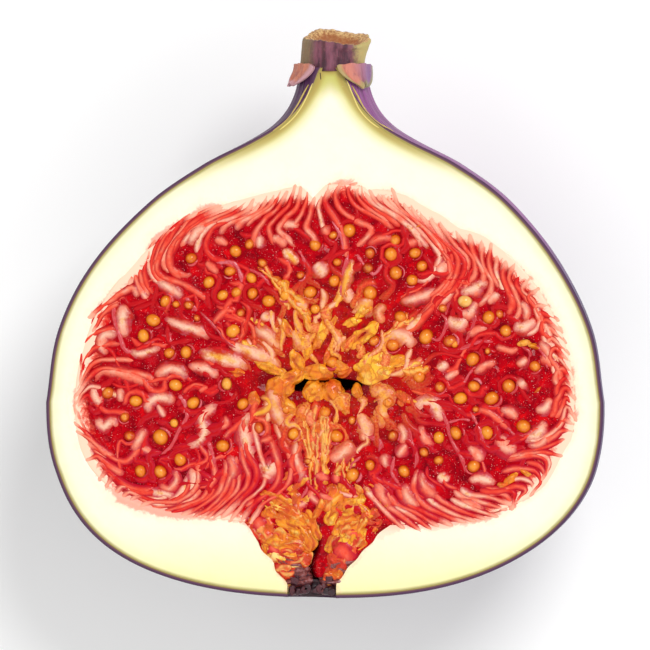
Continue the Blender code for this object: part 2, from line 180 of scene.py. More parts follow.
def shoulder_radius(y):
    """The fruit's radius above its widest place, on a smooth curve through its outline."""
    known_y, known_radius = (np.array(column) for column in zip(*SHOULDER_OUTLINE))
    inner = (known_radius[2:] - known_radius[:-2]) / (known_y[2:] - known_y[:-2])
    first = (known_radius[1] - known_radius[0]) / (known_y[1] - known_y[0])
    last = (known_radius[-1] - known_radius[-2]) / (known_y[-1] - known_y[-2])
    slopes = np.concatenate([[first], inner, [last]])
    i = np.clip(np.searchsorted(known_y, y) - 1, 0, len(known_y) - 2)
    width = known_y[i + 1] - known_y[i]
    t = (y - known_y[i]) / width
    start, end, rise = slopes[i] * width, slopes[i + 1] * width, known_radius[i + 1] - known_radius[i]
    return known_radius[i] + t * (start + t * ((3 * rise - 2 * start - end) + t * (start + end - 2 * rise)))


def bottom_radius(y, radius, length, roundness):
    """The radius of a rounded end, that far along from its widest place."""
    share = np.clip((WIDEST_Y - y) / length, 0, 1)
    return radius * (1 - share**roundness) ** (1 / roundness)


def fruit_radius(y):
    """The fruit's radius from the eye to the neck, and 0 beyond them."""
    below = bottom_radius(y, BODY_RADIUS, WIDEST_Y - EYE_Y, BOTTOM_ROUNDNESS)
    radius = np.where(y < WIDEST_Y, below, shoulder_radius(np.clip(y, WIDEST_Y, NECK_END_Y)))
    return np.where((y < EYE_Y) | (y > NECK_END_Y), 0, radius)


def skin_profile(inset):
    """The fruit's outline from the eye to the neck, moved in by inset, as places on its axis and radii."""
    eye_turn = math.acos((EYE_RADIUS / BODY_RADIUS) ** (BOTTOM_ROUNDNESS / 2))
    turn = eye_turn * (1 - np.linspace(0, 1, 64, endpoint=False) ** 1.2)
    power = 2 / BOTTOM_ROUNDNESS
    y = WIDEST_Y - (WIDEST_Y - EYE_Y) * np.sin(turn) ** power
    radius = BODY_RADIUS * np.cos(turn) ** power
    y = np.concatenate([y, np.linspace(WIDEST_Y, NECK_END_Y, 96)])
    radius = np.concatenate([radius, shoulder_radius(y[64:])])
    slope_y, slope_radius = np.gradient(y), np.gradient(radius)
    length = np.hypot(slope_y, slope_radius)
    inset = inset * (1 - 0.7 * smooth((y - 14) / 8))
    y_in, radius_in = y + slope_radius / length * inset, radius - slope_y / length * inset
    y_in[0], radius_in[0] = EYE_Y + inset[0], EYE_RADIUS
    return np.minimum(y_in, NECK_END_Y), radius_in


FLESH_OUTLINE = skin_profile(FLESH_INSET)


def flesh_radius(y):
    """The radius of the flesh's outer face."""
    return np.interp(y, *FLESH_OUTLINE, left=0, right=0)


def pulp_radius(y):
    """The radius of the space that holds the pulp."""
    along = y - PULP_CENTRE_Y
    above = PULP_RADIUS * np.sqrt(np.clip(1 - (along / PULP_TOP) ** 2, 0, 1))
    share = np.clip(-along / PULP_BOTTOM, 0, 1)
    below = PULP_RADIUS * (1 - share**PULP_BOTTOM_ROUNDNESS) ** (1 / PULP_BOTTOM_ROUNDNESS)
    return np.where(along > 0, above, below)


def passage_radius(y):
    """The radius of the passage, from its waist by the eye to its wide mouth."""
    share = (y - PASSAGE_WAIST_Y) / (PASSAGE_MOUTH_Y - PASSAGE_WAIST_Y)
    return EYE_RADIUS + np.maximum(share, 0) * (PASSAGE_MOUTH_RADIUS - EYE_RADIUS)


def passage_wall(turn, y):
    """How far the passage's ragged wall lies from its axis, in each direction round it."""
    around = np.column_stack([np.sin(turn) * 3, np.full(len(turn), y), np.cos(turn) * 3])
    return passage_radius(y) + 0.4 * smooth((y - PASSAGE_WAIST_Y) / 1.2) * lumps(around, 1.2)


def reach(turn, height, radius_at):
    """How far a round body reaches from the pulp's centre in each direction, level with the height."""
    low, high = np.zeros_like(turn), np.full_like(turn, 45.0)
    for _ in range(32):
        middle = (low + high) / 2
        x, y = middle * np.sin(turn), PULP_CENTRE_Y + middle * np.cos(turn)
        inside = (x - axis_x(y)) ** 2 + (height - axis_z(y)) ** 2 < radius_at(y) ** 2
        low, high = np.where(inside, middle, low), np.where(inside, high, middle)
    return low


def loop_at(turn, distance, height):
    """A closed loop of places at a height, that far from the pulp's centre in each direction."""
    height = np.broadcast_to(height, turn.shape)
    return np.column_stack([distance * np.sin(turn), PULP_CENTRE_Y + distance * np.cos(turn), height])


def even_turns(count):
    """Directions from the pulp's centre that are evenly spaced along the fruit's cut edge."""
    fine = np.linspace(-math.pi, math.pi, 4001)
    edge = loop_at(fine, reach(fine, CUT_Z, flesh_radius), 0.0)
    length = run_along(edge)
    return np.interp(np.linspace(0, length[-1], count, endpoint=False), length, fine)


def pulp_wall(turn):
    """Where the pulp meets the flesh on the cut face, in each direction from the pulp's centre."""
    turn = np.asarray(turn, float)
    upper = np.cos(turn) > 0
    roundness = np.where(upper, 2.0, PULP_BOTTOM_ROUNDNESS)
    across = np.abs(np.sin(turn)) / PULP_RADIUS
    along = np.abs(np.cos(turn)) / np.where(upper, PULP_TOP, PULP_BOTTOM)
    distance = (across**roundness + along**roundness) ** (-1 / roundness)
    return np.stack([distance * np.sin(turn), PULP_CENTRE_Y + distance * np.cos(turn)], -1)


def pulp_place(depth, turn):
    """Places on the cut face of the pulp. Depth is 0 at the flesh and 1 at the hollow."""
    depth, turn = np.broadcast_arrays(np.asarray(depth, float), np.asarray(turn, float))
    round_hollow = np.stack([HOLLOW_HALF_LENGTH * np.sin(turn), HOLLOW_HALF_WIDTH * np.cos(turn)], -1)
    edge = round_hollow + HOLLOW_CENTRE
    place = pulp_wall(turn) * (1 - depth[..., None]) + edge * depth[..., None]
    place[..., 0] += axis_x(place[..., 1])
    return tilted(place)


# Where the fine florets run, clockwise from the left of the passage. Each line starts at the flesh, and at
# None the florets between two lines are left out
RIM_GUIDES = [
    [(250, 524), (261, 505), (278, 494), (288, 482), (291, 465), (286, 448), (278, 433), (273, 416)],
    [(222, 517), (239, 500), (253, 485), (256, 470), (248, 455), (244, 436), (244, 419), (252, 411)],
    [(193, 518), (209, 507), (222, 494), (229, 478), (232, 463), (228, 450)],
    [(151, 514), (166, 511), (183, 505), (200, 499), (210, 485), (214, 472), (209, 455), (207, 443)],
    [(119, 501), (128, 492), (141, 499), (156, 504), (173, 499), (183, 487), (186, 473)],
    [(94, 470), (99, 464), (109, 475), (124, 485), (138, 490), (153, 492)],
    [(83, 444), (92, 447), (104, 454), (116, 460), (126, 461), (136, 451), (146, 441)],
    [(74, 410), (77, 420), (82, 438), (88, 452), (95, 461), (104, 465)],
    None,
    [(74, 408), (85, 395), (92, 402), (104, 411), (116, 412), (130, 413)],
    [(74, 396), (87, 378), (102, 368), (121, 371), (146, 376), (158, 388)],
    [(80, 372), (80, 349), (90, 335), (107, 329), (118, 331)],
    None,
    [(94, 326), (101, 315), (112, 306), (118, 303)],
    [(92, 313), (107, 302), (121, 292), (132, 288), (136, 298)],
    None,
    [(129, 278), (132, 272), (138, 288), (148, 302)],
    [(146, 257), (143, 271), (146, 285), (153, 295)],
    [(154, 238), (148, 252), (147, 264), (152, 277), (163, 286), (176, 294)],
    [(207, 206), (183, 217), (170, 236), (160, 253), (155, 265), (160, 276), (180, 283), (200, 295),
     (211, 304)],
    [(226, 209), (205, 217), (187, 229), (175, 244), (168, 258), (170, 268), (183, 275), (193, 272)],
    [(259, 201), (253, 212), (234, 219), (217, 224), (209, 232), (205, 246), (212, 258), (227, 263),
     (238, 274)],
    [(286, 193), (278, 207), (266, 217), (258, 227), (254, 237), (253, 249)],
    [(300, 190), (297, 205), (285, 219), (278, 229), (288, 239), (297, 249)],
    [(313, 203), (309, 218), (306, 228), (314, 238), (318, 250)],
    [(328, 188), (325, 202), (334, 217), (342, 231), (345, 247), (346, 262)],
    [(342, 181), (335, 194), (340, 209), (357, 221), (371, 228), (366, 238), (352, 250)],
    [(354, 184), (348, 190), (354, 204), (370, 214), (385, 222), (396, 232)],
    [(367, 195), (374, 204), (390, 213), (406, 224), (420, 238), (430, 250)],
    [(388, 192), (391, 202), (404, 212), (421, 226), (435, 242), (447, 257), (453, 268), (445, 283),
     (428, 296), (411, 295), (401, 302)],
    [(428, 214), (438, 231), (448, 244), (464, 259), (465, 271), (455, 288), (438, 302), (425, 315),
     (411, 329), (389, 335)],
    [(457, 232), (465, 248), (474, 259), (475, 273), (467, 285), (460, 293)],
    [(482, 241), (482, 258), (486, 271), (492, 281), (489, 295), (477, 307)],
    [(507, 262), (503, 275), (508, 290), (513, 302), (508, 319)],
    [(530, 279), (523, 290), (535, 302), (540, 320), (535, 331), (522, 335)],
    [(558, 328), (545, 319), (543, 332), (557, 342), (562, 356), (563, 370)],
    [(573, 388), (565, 378), (557, 388), (560, 402), (553, 414)],
    [(574, 415), (567, 406), (562, 422), (553, 433), (540, 439), (523, 441)],
    [(567, 438), (555, 443), (536, 450), (514, 455), (502, 458)],
    [(541, 481), (548, 468), (544, 458), (528, 455), (505, 461)],
    [(532, 493), (541, 481), (534, 470), (516, 468), (500, 472)],
    [(517, 501), (526, 490), (517, 486), (500, 490), (482, 488)],
    [(509, 503), (489, 497), (469, 494), (459, 486)],
    [(485, 519), (465, 512), (448, 504), (435, 494), (430, 479)],
    [(467, 523), (445, 515), (425, 505), (415, 492), (415, 476), (421, 467)],
    [(439, 527), (415, 512), (396, 504), (386, 488), (388, 476)],
    [(402, 527), (384, 510), (371, 495), (362, 482)],
]

# How far apart the fine florets lie, in millimetres
RIM_SPACING = 0.95


def direction_of(places):
    """In which direction from the pulp's centre each place lies, and how far from it."""
    away = places[:, :2] - [0, PULP_CENTRE_Y]
    return np.arctan2(away[:, 0], away[:, 1]), np.hypot(away[:, 0], away[:, 1])


def distance_at(turn, places):
    """How far a closed line of places lies from the pulp's centre, in each direction."""
    return np.interp(turn, *direction_of(places), period=2 * math.pi)


def pulp_edge(turn):
    """How far the pulp's ragged edge, which runs through the florets' roots, lies from its centre."""
    roots = from_photo([guide[0] for guide in RIM_GUIDES if guide])
    around = np.column_stack([np.sin(turn) * 7, np.cos(turn) * 7, np.zeros(len(turn))])
    return distance_at(turn, roots) + 0.3 * lumps(around, 1.0)


def flesh_edge(turn):
    """How far the flesh's inner edge lies from the pulp's centre on the cut face."""
    rim = pulp_place(0.0, np.linspace(-math.pi, math.pi, 720, endpoint=False))
    return np.minimum(distance_at(turn, rim) - 0.02, pulp_edge(turn))


# Making meshes

def grid_faces(rows, columns, wrap):
    """The quads over a grid of points that is numbered row by row. With wrap, each row is a closed loop."""
    i = np.arange(rows - 1)[:, None] * columns
    j = np.arange(columns if wrap else columns - 1)[None, :]
    after = (j + 1) % columns
    corners = np.stack([i + j, i + after, i + columns + after, i + columns + j], -1)
    return corners.reshape(-1, 4).tolist()


def capped_faces(rows, columns):
    """The faces of a tube of closed loops, with a face over each end."""
    first = list(range(columns))
    last = [(rows - 1) * columns + k for k in range(columns)]
    return grid_faces(rows, columns, True) + [first[::-1], last]


def round_model(add_sphere, **settings):
    """The points and faces of a sphere of radius 1, for copies to be shaped from."""
    bpy.ops.object.select_all(action="DESELECT")
    add_sphere(radius=1.0, **settings)
    model = bpy.context.object
    points = np.array([vertex.co for vertex in model.data.vertices])
    faces = sorted(list(face.vertices) for face in model.data.polygons)
    bpy.data.objects.remove(model)
    return points, faces


class Heap:
    """Shapes gathered into one mesh, with numbers kept at each point for its finish to read."""

    def __init__(self):
        self.points = []
        self.faces = []
        self.values = {}
        self.count = 0

    def add(self, points, faces=(), **values):
        """Adds points, the faces that join them, and numbers: one for all of the points, or one for each."""
        points = np.asarray(points, float).reshape(-1, 3)
        self.points.append(points)
        self.faces += [[corner + self.count for corner in face] for face in faces]
        for name, value in values.items():
            column = np.broadcast_to(np.asarray(value, float), (len(points),))
            self.values.setdefault(name, []).append(column)
        self.count += len(points)

    def piece(self, name, finish, slot, *replaced):
        """Makes the mesh with its numbers, and finishes it as a piece."""
        mesh = bpy.data.meshes.new(name)
        mesh.from_pydata((np.vstack(self.points) * MM).tolist(), [], self.faces)
        for value_name, columns in self.values.items():
            keep(mesh, value_name, np.concatenate(columns))
        made = bpy.data.objects.new(name, mesh)
        bpy.context.scene.collection.objects.link(made)
        face_outwards(made)
        mesh.shade_smooth()
        return finished(made, finish, slot, *replaced)


def keep(mesh, name, numbers):
    """Keeps a number at each point of the mesh."""
    attribute = mesh.attributes.get(name) or mesh.attributes.new(name, "FLOAT", "POINT")
    attribute.data.foreach_set("value", np.asarray(numbers, np.float32))


def places_of(mesh):
    """The mesh's points in millimetres."""
    places = np.empty(len(mesh.vertices) * 3)
    mesh.vertices.foreach_get("co", places)
    return places.reshape(-1, 3) / MM


def choose_only(made):
    """Leaves this object as the only one chosen, and the active one."""
    bpy.ops.object.select_all(action="DESELECT")
    made.select_set(True)
    bpy.context.view_layer.objects.active = made


# Points that lie closer than this, in millimetres, become one
MERGE_DISTANCE = 0.0005


def face_outwards(made):
    """Merges doubled points and turns every face outwards."""
    choose_only(made)
    bpy.ops.object.mode_set(mode="EDIT")
    bpy.ops.mesh.select_all(action="SELECT")
    bpy.ops.mesh.remove_doubles(threshold=MERGE_DISTANCE * MM)
    bpy.ops.mesh.normals_make_consistent(inside=False)
    bpy.ops.object.mode_set(mode="OBJECT")


def finished(made, finish, slot, *replaced):
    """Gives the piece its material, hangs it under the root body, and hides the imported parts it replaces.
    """
    made.data.materials.clear()
    made.data.materials.append(finish)
    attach(made, "root")
    if replaced:
        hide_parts(*replaced)
    return made


# Materials

class Finish:
    """A material in the making: its nodes, and the Principled shader that they feed."""

    def __init__(self, name, **constants):
        self.material = bpy.data.materials.new(name)
        self.material.use_nodes = True
        self.tree = self.material.node_tree
        self.shader = self.tree.nodes["Principled BSDF"]
        for socket, value in constants.items():
            self.shader.inputs[socket.replace("_", " ")].default_value = value

    def node(self, kind, settings=None, inputs=None, output=0):
        """Adds a node, and gives one of its outputs as a field."""
        made = self.tree.nodes.new(kind)
        for name, value in (settings or {}).items():
            if name == "stops":
                set_stops(made.color_ramp, value)
            else:
                setattr(made, name, value)
        for key, value in (inputs or {}).items():
            if isinstance(value, Field):
                self.tree.links.new(value.socket, made.inputs[key])
            else:
                made.inputs[key].default_value = value
        return Field(self, made.outputs[output])

    def attributes(self, *names):
        """The numbers that the piece keeps at its points under these names."""
        return [self.node("ShaderNodeAttribute", {"attribute_name": name}, output=2) for name in names]

    def place(self):
        """The place on the piece in millimetres."""
        metres = self.node("ShaderNodeTexCoord", output=3)
        return self.node("ShaderNodeVectorMath", {"operation": "SCALE"}, {0: metres, 3: 1 / MM})

    def stretched(self, vector, *scale):
        """The vector, multiplied along each axis."""
        return self.node("ShaderNodeVectorMath", {"operation": "MULTIPLY"}, {0: vector, 1: scale})

    def shifted(self, vector, x, y):
        """The vector, moved by x and y."""
        return self.node("ShaderNodeVectorMath", {"operation": "ADD"}, {0: vector, 1: self.combined(x, y)})

    def combined(self, x, y, z=0.0):
        """A vector from its three numbers."""
        return self.node("ShaderNodeCombineXYZ", {}, {0: x, 1: y, 2: z})

    def noise(self, vector, size, detail=3.0, roughness=0.55, distortion=0.0):
        """Noise from 0 to 1, with lumps of about the size given."""
        inputs = {"Vector": vector, "Scale": 1 / size, "Detail": detail, "Roughness": roughness}
        return self.node("ShaderNodeTexNoise", {}, inputs | {"Distortion": distortion})

    def cells(self, vector, size, feature="F1"):
        """The distance to the nearest of scattered spots, in cells of the size given."""
        return self.node("ShaderNodeTexVoronoi", {"feature": feature}, {"Vector": vector, "Scale": 1 / size})

    def mix(self, factor, first, second):
        """The first shade where factor is 0, and the second where it is 1: fields or screen colours."""
        inputs = {0: factor, 6: first, 7: second}
        for key in (6, 7):
            if isinstance(inputs[key], tuple):
                inputs[key] = colour(*inputs[key])
        return self.node("ShaderNodeMix", {"data_type": "RGBA"}, inputs, output=2)

    def over(self, shade, *layers):
        """The shade with one colour after another laid over it, each as strongly as its own factor says."""
        for factor, layer in layers:
            shade = self.mix(factor, shade, layer)
        return shade

    def ramp(self, factor, *stops):
        """The colour that stands at factor along a ramp of stops."""
        return self.node("ShaderNodeValToRGB", {"stops": stops}, {0: factor})

    def middle(self, place):
        """1 up to 3 mm from the middle of the cut pulp, fading to 0 at 11 mm."""
        inputs = {0: place, 1: (*GOLDEN_CENTRE, CUT_Z)}
        distance = self.node("ShaderNodeVectorMath", {"operation": "DISTANCE"}, inputs, output=1)
        return distance.between(11.0, 3.0)

    def feed(self, **fields):
        """Joins fields to the shader's sockets, and gives the finished material."""
        for socket, field in fields.items():
            self.tree.links.new(field.socket, self.shader.inputs[socket.replace("_", " ")])
        return self.material

    def bump(self, height, depth, strength):
        """A normal from a height of 0 to 1 that stands for a depth in millimetres."""
        inputs = {"Height": height, "Distance": depth * MM, "Strength": strength}
        return self.node("ShaderNodeBump", {}, inputs)


class Field:
    """A number, colour or vector that varies over a surface. Sums with it add their own nodes."""

    def __init__(self, finish, socket):
        self.finish = finish
        self.socket = socket

    def math(self, operation, first, second=0.0):
        """The field that a sum with one or two numbers or fields gives."""
        return self.finish.node("ShaderNodeMath", {"operation": operation}, {0: first, 1: second})

    def __add__(self, other):
        return self.math("ADD", self, other)

    __radd__ = __add__

    def __sub__(self, other):
        return self.math("SUBTRACT", self, other)

    def __rsub__(self, other):
        return self.math("SUBTRACT", other, self)

    def __mul__(self, other):
        return self.math("MULTIPLY", self, other)

    __rmul__ = __mul__

    def between(self, low, high):
        """0 up to low and 1 from high, with an even curve between. Low may be above high."""
        inputs = {0: self, 1: low, 2: high}
        if low > high:
            inputs = {0: self, 1: high, 2: low, 3: 1.0, 4: 0.0}
        return self.finish.node("ShaderNodeMapRange", {"interpolation_type": "SMOOTHSTEP"}, inputs)

    def part(self, index):
        """One of the vector's three numbers."""
        return self.finish.node("ShaderNodeSeparateXYZ", {}, {0: self}, output=index)


def set_stops(ramp, stops):
    """Gives a colour ramp its stops: a place and a screen colour each."""
    while len(ramp.elements) < len(stops):
        ramp.elements.new(0.5)
    for element, (place, shade) in zip(ramp.elements, stops):
        element.position = place
        element.color = colour(*shade)


def colour(red, green, blue):
    """A screen colour, 0 to 255 in each part, as the shader's own numbers."""
    parts = []
    for part in (red, green, blue):
        share = part / 255
        parts.append(share / 12.92 if share <= 0.04045 else ((share + 0.055) / 1.055) ** 2.4)
    return (*parts, 1.0)


# Screen colours, 0 to 255 in each part
CREAM = (246, 240, 214)
WARM_WHITE = (250, 241, 219)
YELLOW_GREEN = (228, 226, 150)
OLIVE = (150, 138, 62)
PLUM = (60, 34, 62)
CRIMSON = (186, 4, 20)
GOLD = (244, 168, 34)
RUST = (176, 62, 14)


def skin_finish():
    """Thin dark skin: streaks from the eye to the neck, pale flecks, a dull bloom, and a paler cut edge."""
    finish = Finish("fig_skin", Specular_IOR_Level=0.4)
    turn, along, inward = finish.attributes("turn", "along", "inward")
    place = finish.place()
    x = place.part(0)
    streaks = finish.noise(finish.combined(turn * 15.0, along * 0.07), 0.4, 5.0, 0.6, 0.3)
    fine = finish.noise(finish.combined(turn * 50.0, along * 0.5), 0.6, 3.0)
    patches = finish.noise(place, 7.0, 4.0, 0.6)
    bloom = finish.noise(place, 3.2, 5.0, 0.65)
    flecks = finish.cells(finish.combined(turn * 16.0, along * 0.6), 0.9)
    # Painted light: the skin is lighter and more violet towards the right, as if lit from that side.
    painted_light_right = x.between(-8.0, 16.0)
    dark = finish.mix(painted_light_right, (46, 22, 38), (56, 34, 70))
    light = finish.mix(painted_light_right, (72, 42, 66), (84, 60, 108))
    # Painted light: the right of the neck is painted a lighter magenta.
    neck, neck_painted_light_right = along.between(46.0, 56.0), x.between(-2.0, 3.0)
    neck_shade = finish.mix(neck_painted_light_right, (92, 44, 96), (156, 86, 150))
    edge = finish.ramp(
        inward, (0.0, PLUM), (0.5, (84, 44, 78)), (0.78, (120, 92, 66)), (1.0, (190, 176, 92))
    )
    shade = finish.over(
        dark,
        ((streaks * 0.6 + patches * 0.4).between(0.36, 0.64), light),
        (fine.between(0.55, 0.8) * 0.22, (112, 80, 124)),
        (bloom.between(0.5, 0.75) * 0.24, (118, 108, 136)),
        (flecks.between(0.13, 0.05) * 0.5, (168, 146, 146)),
        # Painted light on the right of the neck, laid over its streaks.
        (neck * streaks.between(0.3, 0.55) * (0.5 + neck_painted_light_right * 0.3), neck_shade),
        (neck * fine.between(0.56, 0.68) * 0.35, (128, 96, 88)),
        (along.between(6.0, 1.0) * 0.7, (60, 22, 34)),
        (inward.between(0.02, 0.12), edge),
    )
    bump = finish.bump(streaks * 0.5 + fine * 0.3 + flecks * 0.2, 0.09, 0.5)
    return finish.feed(Base_Color=shade, Roughness=0.36 + bloom * 0.3, Normal=bump)


def flesh_finish():
    """White flesh: yellow-green towards the skin, the eye and the neck, and flushed pink along the pulp."""
    finish = Finish("fig_flesh", Subsurface_Weight=0.2, Subsurface_Radius=(0.0012, 0.001, 0.0005))
    to_skin, to_pulp = finish.attributes("to_skin", "to_pulp")
    place = finish.place()
    y = place.part(1)
    cloud = finish.noise(place, 2.6, 4.0, 0.6)
    grain = finish.noise(place, 0.28, 3.0, 0.6)
    ragged = finish.noise(place, 0.9, 5.0, 0.7, 0.6) - 0.5
    neck, pulp_side = y.between(12.0, 18.0), y.between(-21.5, -19.6)
    blush = (to_pulp + ragged * 2.4).between(1.3, 0.1)
    stain = (to_pulp + ragged * 1.6).between(0.35, 0.0)
    shade = finish.over(
        WARM_WHITE,
        (cloud.between(0.4, 0.7) * 0.7, CREAM),
        (to_skin.between(3.6, 0.6) * 0.4, (248, 238, 208)),
        (to_skin.between(1.3, 0.05) * (0.1 + cloud * 0.6), YELLOW_GREEN),
        (y.between(-19.5, -27.0) * 0.65, (238, 230, 158)),
        (neck * to_skin.between(2.0, 0.3) * 0.8, (206, 200, 96)),
        (y.between(20.6, 22.8) * 0.8, (186, 182, 76)),
        (neck * to_skin.between(1.0, 0.3) * 0.85, (168, 142, 66)),
        (to_skin.between(0.3, 0.02) * (0.3 + cloud * 0.7), OLIVE),
        (grain.between(0.62, 0.8) * 0.25, (238, 230, 190)),
        (blush * (0.15 + pulp_side * 0.3), (255, 218, 190)),
        (stain * (0.2 + pulp_side * 0.5), (244, 130, 108)),
    )
    bump = finish.bump(grain * 0.4 + cloud * 0.6, 0.05, 0.5)
    return finish.feed(Base_Color=shade, Roughness=0.36 + grain * 0.2, Normal=bump)


def gel_finish():
    """The wet crimson gel that the florets and the seeds lie in."""
    finish = Finish("pulp_gel", Coat_Weight=0.16, Coat_Roughness=0.04, Specular_IOR_Level=0.0)
    depth, shore = finish.attributes("depth", "shore")
    place = finish.place()
    cloud = finish.noise(place, 1.6, 4.0, 0.6, 0.5)
    fine = finish.noise(place, 0.35, 4.0, 0.65, 0.8)
    bent = finish.shifted(place, cloud * 3, fine * 2)
    walls = finish.cells(bent, 1.5, "DISTANCE_TO_EDGE")
    films = finish.noise(finish.stretched(bent, 1.0, 0.6, 1.0), 0.9, 5.0, 0.7, 1.2)
    # Painted glints: tiny pale specks that stand in for highlights on the wet gel.
    painted_glints = finish.noise(place, 0.11, 2.0, 0.5)
    ragged = finish.noise(place, 0.8, 5.0, 0.75, 0.6) - 0.5
    shade = finish.over(
        (122, 0, 14),
        (cloud.between(0.32, 0.52), (174, 0, 16)),
        (cloud.between(0.52, 0.68) * 0.8, (214, 8, 16)),
        (fine.between(0.62, 0.8) * 0.4, (222, 40, 50)),
        (walls.between(0.07, 0.01) * 0.55, (98, 0, 14)),
        (films.between(0.56, 0.72) * 0.5, (206, 62, 70)),
        (finish.middle(place) * fine.between(0.35, 0.65) * 0.7, (164, 40, 6)),
        # Painted shade: darker where the gel lies deeper under the cut, nearly black in the hollow and the
        # passage's gap.
        (depth.between(0.34, 0.62) * 0.7, (104, 0, 14)),
        (depth.between(0.7, 1.8), (34, 0, 6)),
        # Painted glints over the gel.
        (painted_glints.between(0.68, 0.73) * 0.85, (255, 206, 196)),
        ((shore + ragged * 3.0).between(1.5, 0.5) * 0.9, (238, 96, 76)),
        ((shore + ragged * 2.8).between(0.85, 0.25) * 0.9, (253, 218, 190)),
    )
    return finish.feed(Base_Color=shade, Roughness=0.3 + fine * 0.2, Normal=finish.bump(fine, 0.05, 0.5))


def floret_finish():
    """Florets by their tone, from red through salmon and cream to gold, with pale hearts and red sides."""
    finish = Finish(
        "florets", Coat_Weight=0.16, Coat_Roughness=0.08, Subsurface_Weight=0.06, Specular_IOR_Level=0.1
    )
    edge, along, tone, root = finish.attributes("edge", "along", "tone", "root")
    place = finish.place()
    grain = finish.noise(place, 0.2, 4.0, 0.65)
    streaks = finish.noise(finish.combined(edge * 1.6, along * 0.45), 0.35, 3.0)
    cloud = finish.noise(place, 1.1, 3.0)
    rough, patchy = grain - 0.5, cloud - 0.5
    tint = tone + patchy * 0.55 + rough * 0.2 - edge * 0.22
    body = finish.ramp(
        tint, (0.0, (190, 2, 14)), (0.16, (218, 28, 26)), (0.34, (236, 80, 56)),
        (0.52, (240, 132, 104)), (0.68, (246, 194, 166)), (0.84, (238, 170, 70)), (1.0, GOLD),
    )
    flank = finish.ramp(tone, (0.0, CRIMSON), (0.6, (176, 4, 18)), (0.85, (200, 44, 12)), (1.0, RUST))
    rim = (edge + rough * 0.5 + patchy * 0.8).between(0.06, 0.62)
    root = (root + rough * 0.5).between(0.1, 0.8)
    line = (edge + rough * 0.2).between(0.62, 0.82)
    lilac = finish.noise(place, 0.7, 3.0).between(0.48, 0.62)
    lilac = lilac * edge.between(0.1, 0.4) * tint.between(0.45, 0.6)
    middle_shade = finish.mix(grain.between(0.35, 0.6), (206, 74, 8), (248, 170, 70))
    shade = finish.over(
        body,
        (streaks.between(0.52, 0.72) * 0.5, (216, 40, 36)),
        (rim, flank),
        (root, (250, 172, 144)),
        (line * 0.65, finish.mix(root, (108, 0, 14), (206, 52, 50))),
        (place.part(1).between(-5.0, -15.0) * rim * 0.35, (206, 20, 62)),
        (lilac * 0.3, (200, 96, 116)),
        (finish.middle(place) * (0.1 + cloud), middle_shade),
    )
    bump = finish.bump(grain * 0.5 + streaks * 0.5, 0.05, 0.6)
    return finish.feed(Base_Color=shade, Roughness=0.3 + grain * 0.25, Normal=bump)


def seed_finish():
    """Hard golden seeds: a painted highlight on top, painted red shade and reflection where the gel climbs
    round them.
    """
    finish = Finish("seeds", Coat_Weight=0.4, Coat_Roughness=0.06, Specular_IOR_Level=0.2)
    tone, up = finish.attributes("tone", "up")
    grain = finish.noise(finish.place(), 0.25, 3.0)
    blotch = finish.noise(finish.place(), 0.6, 3.0)
    shade = finish.over(
        finish.ramp(
            tone, (0.0, (160, 16, 2)), (0.3, (198, 60, 2)), (0.6, (222, 112, 6)),
            (0.8, (236, 148, 28)), (1.0, (236, 184, 104)),
        ),
        (blotch.between(0.45, 0.65) * 0.4, (204, 84, 4)),
        # Painted highlight: the top of each seed is lighter.
        ((up + (blotch - 0.5) * 0.3).between(0.88, 1.02) * 0.5, (246, 178, 60)),
        # Painted shade and reflected red of the gel: darker red low on each seed, a ring round its top.
        (up.between(0.88, 0.64) * 0.85, (146, 16, 2)),
        (grain.between(0.62, 0.8) * 0.3, (196, 92, 14)),
    )
    return finish.feed(Base_Color=shade, Roughness=0.2 + grain * 0.2, Normal=finish.bump(grain, 0.04, 0.6))


def golden_finish():
    """Crumpled golden floret tips and bracts: painted rust-red shade in creases and cream highlights on
    crests.
    """
    finish = Finish("golden", Coat_Weight=0.3, Coat_Roughness=0.12, Specular_IOR_Level=0.25)
    tone, crest = finish.attributes("tone", "crest")
    place = finish.place()
    grain = finish.noise(place, 0.22, 4.0, 0.7, 0.5)
    cloud = finish.noise(place, 1.5, 3.0)
    bent = finish.shifted(place, cloud * 2.5, grain)
    veins = finish.cells(finish.stretched(bent, 1.0, 0.55, 1.0), 0.75, "DISTANCE_TO_EDGE")
    shade = finish.over(
        finish.ramp(
            tone + (cloud - 0.5) * 0.9 + (grain - 0.5) * 0.2 - 0.02,
            (0.0, (184, 8, 10)), (0.2, (222, 56, 24)), (0.42, (226, 100, 6)),
            (0.68, (240, 154, 20)), (0.88, (250, 188, 48)), (1.0, (252, 216, 134)),
        ),
        # Painted shade: rust-red where the crest share is low, in creases and at the sides.
        (crest.between(0.55, 0.1) * 0.75, (186, 40, 6)),
        (veins.between(0.12, 0.0) * cloud, (206, 70, 8)),
        # Painted highlight: cream on the crests.
        (crest.between(0.62, 1.0) * 0.5, (255, 214, 112)),
    )
    bump = finish.bump(grain * 0.6 + veins.between(0.0, 0.16) * 0.6, 0.12, 0.8)
    return finish.feed(Base_Color=shade, Roughness=0.28 + grain * 0.3, Normal=bump)


